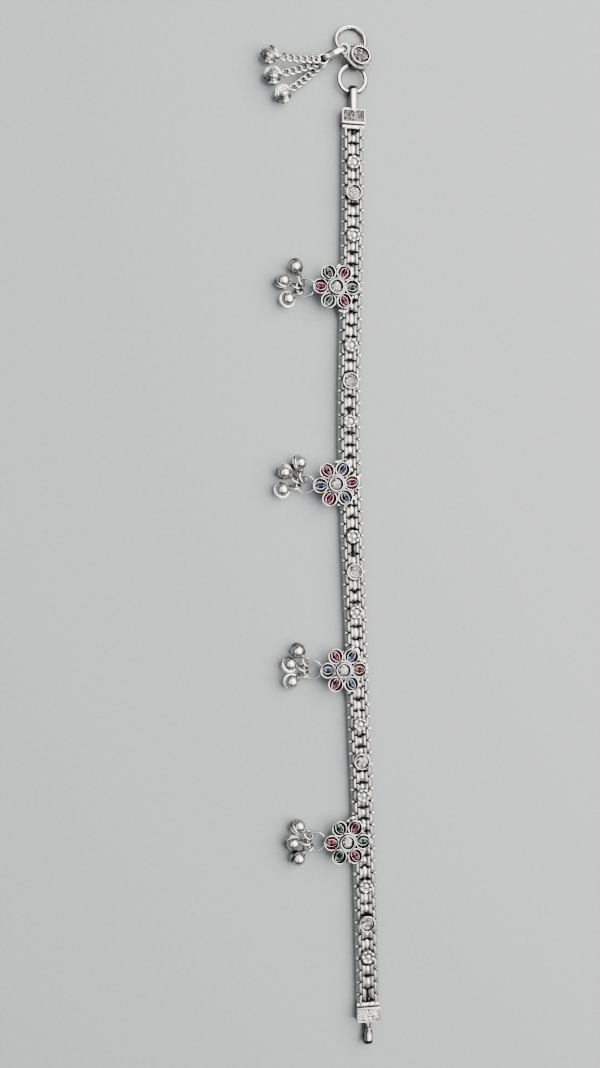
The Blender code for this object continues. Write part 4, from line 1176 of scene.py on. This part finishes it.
def make_plaque():
    centre = plaque_centre()
    eye = plaque_eye()
    back = plaque_back()
    front = back + PLAQUE_THICKNESS
    rings = []
    rows = ((0.0, 0.12), (0.10, 0.02), (0.56, 0.02), (0.68, 0.14), (0.70, 0.26))
    for rise, shrink in rows:
        outline = teardrop(shrink * MM)
        rings.append(level_ring(*outline.T, back + rise * MM))
    hole = lathe([(0.0, PLAQUE_EYE_HOLE), (3 * MM, PLAQUE_EYE_HOLE)], 40)
    hole = Shape().add(*hole, move((eye.x, eye.y, back - MM)))
    plate = Shape().add(*carved(Shape().add(*loft(rings)), hole))
    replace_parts(plate.make("plaque_plate", SHADE), "clasp_plaque")
    shape = Shape()
    grains = Shape()
    across, along = 2.62 * MM, 2.30 * MM
    lean = move((centre.x, centre.y, 0.0)) @ turned(-30.0)
    top = front + PLAQUE_BEZEL_HEIGHT
    wall = 0.36 * MM
    rows = [
        (front - 0.2 * MM, 0.0), (front + 0.32 * MM, 0.0), (front + 0.36 * MM, 0.06),
        (top - 0.36 * MM, 0.07), (top - 0.14 * MM, 0.03), (top - 0.03 * MM, 0.10), (top, 0.21),
        (top - 0.03 * MM, 0.32), (top - 0.16 * MM, 0.38), (front + 0.06 * MM, 0.40),
    ]
    angles = full_turn(64)
    rings = []
    for level, inset in rows:
        x = (across - inset * MM) * np.cos(angles)
        y = (along - inset * MM) * np.sin(angles)
        rings.append(level_ring(x, y, level))
    shape.add(*loft(rings), lean)
    places = staple_places()
    for place, bearing in ((places[0], STAPLE_ON_LOWER), (places[1], STAPLE_ON_UPPER)):
        stand = frame_of(place, flat(bearing + 90.0), UP)
        shape.add(*torus(staple_radius(), STAPLE_WIRE * 0.95, 40, 12), stand)
    rim = move((eye.x, eye.y, front - 0.03 * MM))
    grains.add(*torus(PLAQUE_EYE_HOLE + 0.27 * MM, 0.50 * MM, 48, 14), rim)
    along_eye = flat(PLAQUE_EYE_BEARING)
    beside = flat(PLAQUE_EYE_BEARING - 90.0)
    scroll = [
        (5.62, 0.75), (5.15, 1.25), (4.45, 1.42), (3.75, 1.20), (3.22, 0.55), (3.08, -0.40),
        (2.92, -1.20), (2.35, -2.05), (1.35, -2.72), (0.30, -2.98),
    ]
    start = centre + UP * (PLAQUE_THICKNESS + 0.10 * MM)
    path = smooth_path([start + along_eye * (a * MM) + beside * (b * MM) for a, b in scroll], 5)
    frame_wire = Shape().add(*sweep(path, UP, round_section(0.52 * MM, 14), closed=False))
    middle = np.array([centre.x, centre.y])
    hole_middle = np.array([eye.x, eye.y])
    for shrink, spacing, size, lift in ((0.22, 0.53, 0.26, 0.02), (0.62, 0.40, 0.19, 0.08)):
        outline = teardrop(shrink * MM, 200)
        outline = np.vstack([outline, outline[:1]])
        steps = np.linalg.norm(np.diff(outline, axis=0), axis=1)
        gone = np.concatenate([[0.0], np.cumsum(steps)])
        for station in np.arange(0.0, gone[-1] - spacing * MM / 2, spacing * MM):
            point = np.array([np.interp(station, gone, outline[:, axis]) for axis in (0, 1)])
            if np.linalg.norm(point - hole_middle) > 1.5 * MM:
                outward = Vector((point[0] - middle[0], point[1] - middle[1], 0.0)).normalized()
                stand = frame_of(Vector((point[0], point[1], front + lift * MM)), UP, outward)
                grains.add(*ball(size * MM, 12, 7), stand @ Matrix.Diagonal((1.2, 0.98, 1.0, 1.0)))
    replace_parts(shape.make("plaque_bezel", SILVER), "clasp_plaque")
    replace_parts(frame_wire.make("plaque_scroll", SILVER), "clasp_plaque")
    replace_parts(grains.make("plaque_grains", WIRE), "clasp_plaque")
    reach = Matrix.Diagonal((across - wall, along - wall, 1.0, 1.0))
    seat = lean @ move((0, 0, front + 0.1 * MM)) @ reach
    stone = Shape().add(*cut_stone(1.0, MM, 12, OVAL_CUT), seat)
    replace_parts(stone.make("plaque_gem", STONES["smoky"], "clear", FACETED), "clasp_stone")


# Tassel


def make_tassel_ring():
    below, above, foot, top = tassel_levels()
    reach = TASSEL_RING_LENGTH - TASSEL_RING_STRAP
    narrow = (above - below) / 2
    circles = [
        (narrow, (above + below) / 2, narrow),
        (reach - TASSEL_RING_CORNER, foot + TASSEL_RING_CORNER, TASSEL_RING_CORNER),
        (reach - TASSEL_RING_CORNER, top - TASSEL_RING_CORNER, TASSEL_RING_CORNER),
    ]
    eye = plaque_eye()
    start = Vector((eye.x, eye.y, 0.0))
    path = [start + flat(TASSEL_BEARING) * x + UP * z for x, z in outline_round(circles, 64)]
    section = strap_section(TASSEL_RING_WIDTH * 0.98, TASSEL_RING_STRAP * 0.98, 0.18)
    shape = Shape().add(*sweep(path, flat(TASSEL_BEARING + 90.0), section))
    along = flat(TASSEL_BEARING)
    height = UP * (top - 0.06 * MM)
    # Two strips along the ring's top: the first in bright silver, the second in the darkened silver as
    # painted shade
    collars = (
        ("tassel_loop", WIRE, 1.55, (1.55, 1.75, 2.6, 3.3, 3.5)),
        ("tassel_shaded_strip", SHADE, 1.70, (3.62, 3.8, 4.5, 5.2, 5.38)),
    )
    for name, material, thickness, places in collars:
        path = [start + along * (x * MM) + height for x in places]
        section = domed_section(0.56 * MM, thickness * MM)
        shape.add(*sweep(path, UP, section, closed=False, sizes=(0.8, 1.0, 1.0, 1.0, 0.8)))
        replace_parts(shape.make(name, material), "tassel_ring")
        shape = Shape()


def leaf_ball(radius, neck_radius, neck_end):
    """Cast bell with raised leaf outlines and veins that curl round it."""
    theta = full_turn(200)
    rings = []
    leaves, first, last = 5, -89, 66
    leaf_width, relief = 0.98 * MM, 0.36 * MM
    for row in np.linspace(first, last, 110):
        v = (row - first) / (last - first)
        angle = radians(row)
        centre_line = 0.99 * sin(pi * v)
        around = (theta + centre_line) * leaves / (2 * np.pi)
        offset = (around - np.floor(around) - 0.5) / leaves * 2 * np.pi * radius * cos(angle)
        fullness = sin(pi * min(max((v - 0.06) / 0.86, 0), 1)) ** 0.75
        width = leaf_width * fullness * max(cos(angle), 0.25)
        edge = np.exp(-((np.abs(offset) - width) / (0.16 * MM)) ** 2)
        vein = np.exp(-(offset / (0.12 * MM)) ** 2) * 0.75
        ripple = np.exp(-((np.abs(offset) - width * 0.5) / (0.10 * MM)) ** 2) * 0.35
        lift = np.clip(edge + vein + ripple, 0, 1)
        reach = radius - relief * (1 - lift)
        rings.append(ring_at(reach * cos(angle), theta, reach * sin(angle)))
    rise = radius * sin(radians(last))
    for level, r in ((0.45, 1.12), (0.72, 1.0), (0.9, 1.0), (1.0, 0.82)):
        rings.append(ring_at(neck_radius * r, theta, rise + (neck_end - rise) * level))
    return loft(rings)


def make_tassel(number, row):
    stations = tassel_stations(row)
    links = stations[:-1]
    chain = Shape()
    for index, (place, bearing) in enumerate(links):
        is_first = index == 0
        length = FIRST_LINK_LENGTH if is_first else LINK_LENGTH
        width = FIRST_LINK_WIDTH if is_first else LINK_WIDTH
        ahead = stations[index + 1][0]
        behind = links[max(index - 1, 0)][0]
        direction = flat(bearing) if is_first else ahead - behind
        stand = frame_of(place, direction.cross(UP).cross(direction), direction)
        twist = 0.0 if is_first else LINK_TWIST
        path = oval((length - LINK_WIRE) / 2, (width - LINK_WIRE) / 2 + LINK_SPREAD, 32, twist)
        chain.add(*sweep(path, UP, round_section(LINK_WIRE * LINK_FULLNESS, 10)), stand)
    place, _ = stations[-1]
    axis = (links[-1][0] - place).normalized()
    neck_end = (links[-1][0] - place).length - LINK_LENGTH / 2 + LINK_WIRE / 2
    form = leaf_ball(TASSEL_BELL_RADIUS - 0.01 * MM, BELL_NECK_RADIUS, neck_end)
    bell = Shape().add(*form, frame_of(place, axis, UP))
    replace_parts(chain.make(f"curb_chain_{number}", WIRE), f"tassel_chain_{number}")
    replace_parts(bell.make(f"leaf_bell_{number}", AGED_AND_SHADED), f"tassel_chain_{number}")


# The anklet

make_chain("chain_left", -STRAND_SPACING / 2)
make_chain("chain_right", STRAND_SPACING / 2)
make_corners()
make_joins()
make_studs()
make_ring_side_cap()
make_hook_side_cap()
for number in range(1, 5):
    make_flower(number)
    make_drop_ring(number)
make_bells()
make_clasp_rings()
make_plaque()
make_tassel_ring()
for number, row in enumerate(TASSELS, start=1):
    make_tassel(number, row)


# Floor, light and camera


def make_floor():
    material, tree, shader = nodes_of("pale_paper")
    where = node(tree, "TexCoord").outputs["Object"]
    grain = node(tree, "TexNoise", Vector=where, Scale=900.0, Detail=4.0)
    colour = ramp(tree, grain.outputs["Fac"], [(0.35, (0.35, 0.36, 0.37)), (0.65, (0.38, 0.39, 0.40))])
    fill(tree, shader, {"Base Color": colour, "Roughness": 0.75})
    reach, level = 3.0, -0.02 * MM
    corners = [(x * reach, y * reach, level) for x, y in ((-1, -1), (1, -1), (1, 1), (-1, 1))]
    Shape().add(corners, [(0, 1, 2, 3)]).bare("floor", material)


def make_light(name, place, size, power, colour=(1.0, 1.0, 1.0), aim=(0.0, 0.0, 0.0)):
    data = bpy.data.lights.new(name, "AREA")
    data.shape = "RECTANGLE"
    data.size = size[0]
    data.size_y = size[1]
    data.energy = power
    data.color = colour
    light = bpy.data.objects.new(name, data)
    light.location = place
    light.rotation_euler = (Vector(aim) - Vector(place)).to_track_quat("-Z", "Y").to_euler()
    bpy.context.scene.collection.objects.link(light)


def make_world():
    world = bpy.data.worlds.new("room")
    bpy.context.scene.world = world
    world.use_nodes = True
    background = world.node_tree.nodes["Background"].inputs
    background["Color"].default_value = (0.62, 0.66, 0.72, 1.0)
    background["Strength"].default_value = 0.08


def make_camera():
    """Camera above the anklet, leaning a little to its left."""
    target = HOME + Vector((-13.0 * MM, 8.32 * MM, 0.0))
    lean = radians(10.0)
    distance = 0.300
    view_height = 277.68 * MM
    sensor = 36.0
    right = Vector((cos(lean), 0.0, sin(lean)))
    back = Vector((-sin(lean), 0.0, cos(lean)))
    up = back.cross(right)
    data = bpy.data.cameras.new("photo_camera")
    data.sensor_fit = "VERTICAL"
    data.sensor_width = data.sensor_height = sensor
    data.lens = sensor * distance / view_height
    data.clip_start = 0.01
    data.clip_end = 10.0
    camera = bpy.data.objects.new("photo_camera", data)
    turn = Matrix((right, up, back)).transposed().to_4x4()
    camera.matrix_world = move(target + back * distance) @ turn
    bpy.context.scene.collection.objects.link(camera)
    bpy.context.scene.camera = camera


make_floor()
make_world()
make_light("key", (0.36, 0.12, 0.50), (1.00, 0.78), 19.0, (1.0, 0.985, 0.96))
make_light("fill", (-0.30, 0.06, 0.50), (0.90, 0.34), 1.6, (0.94, 0.97, 1.0))
make_camera()
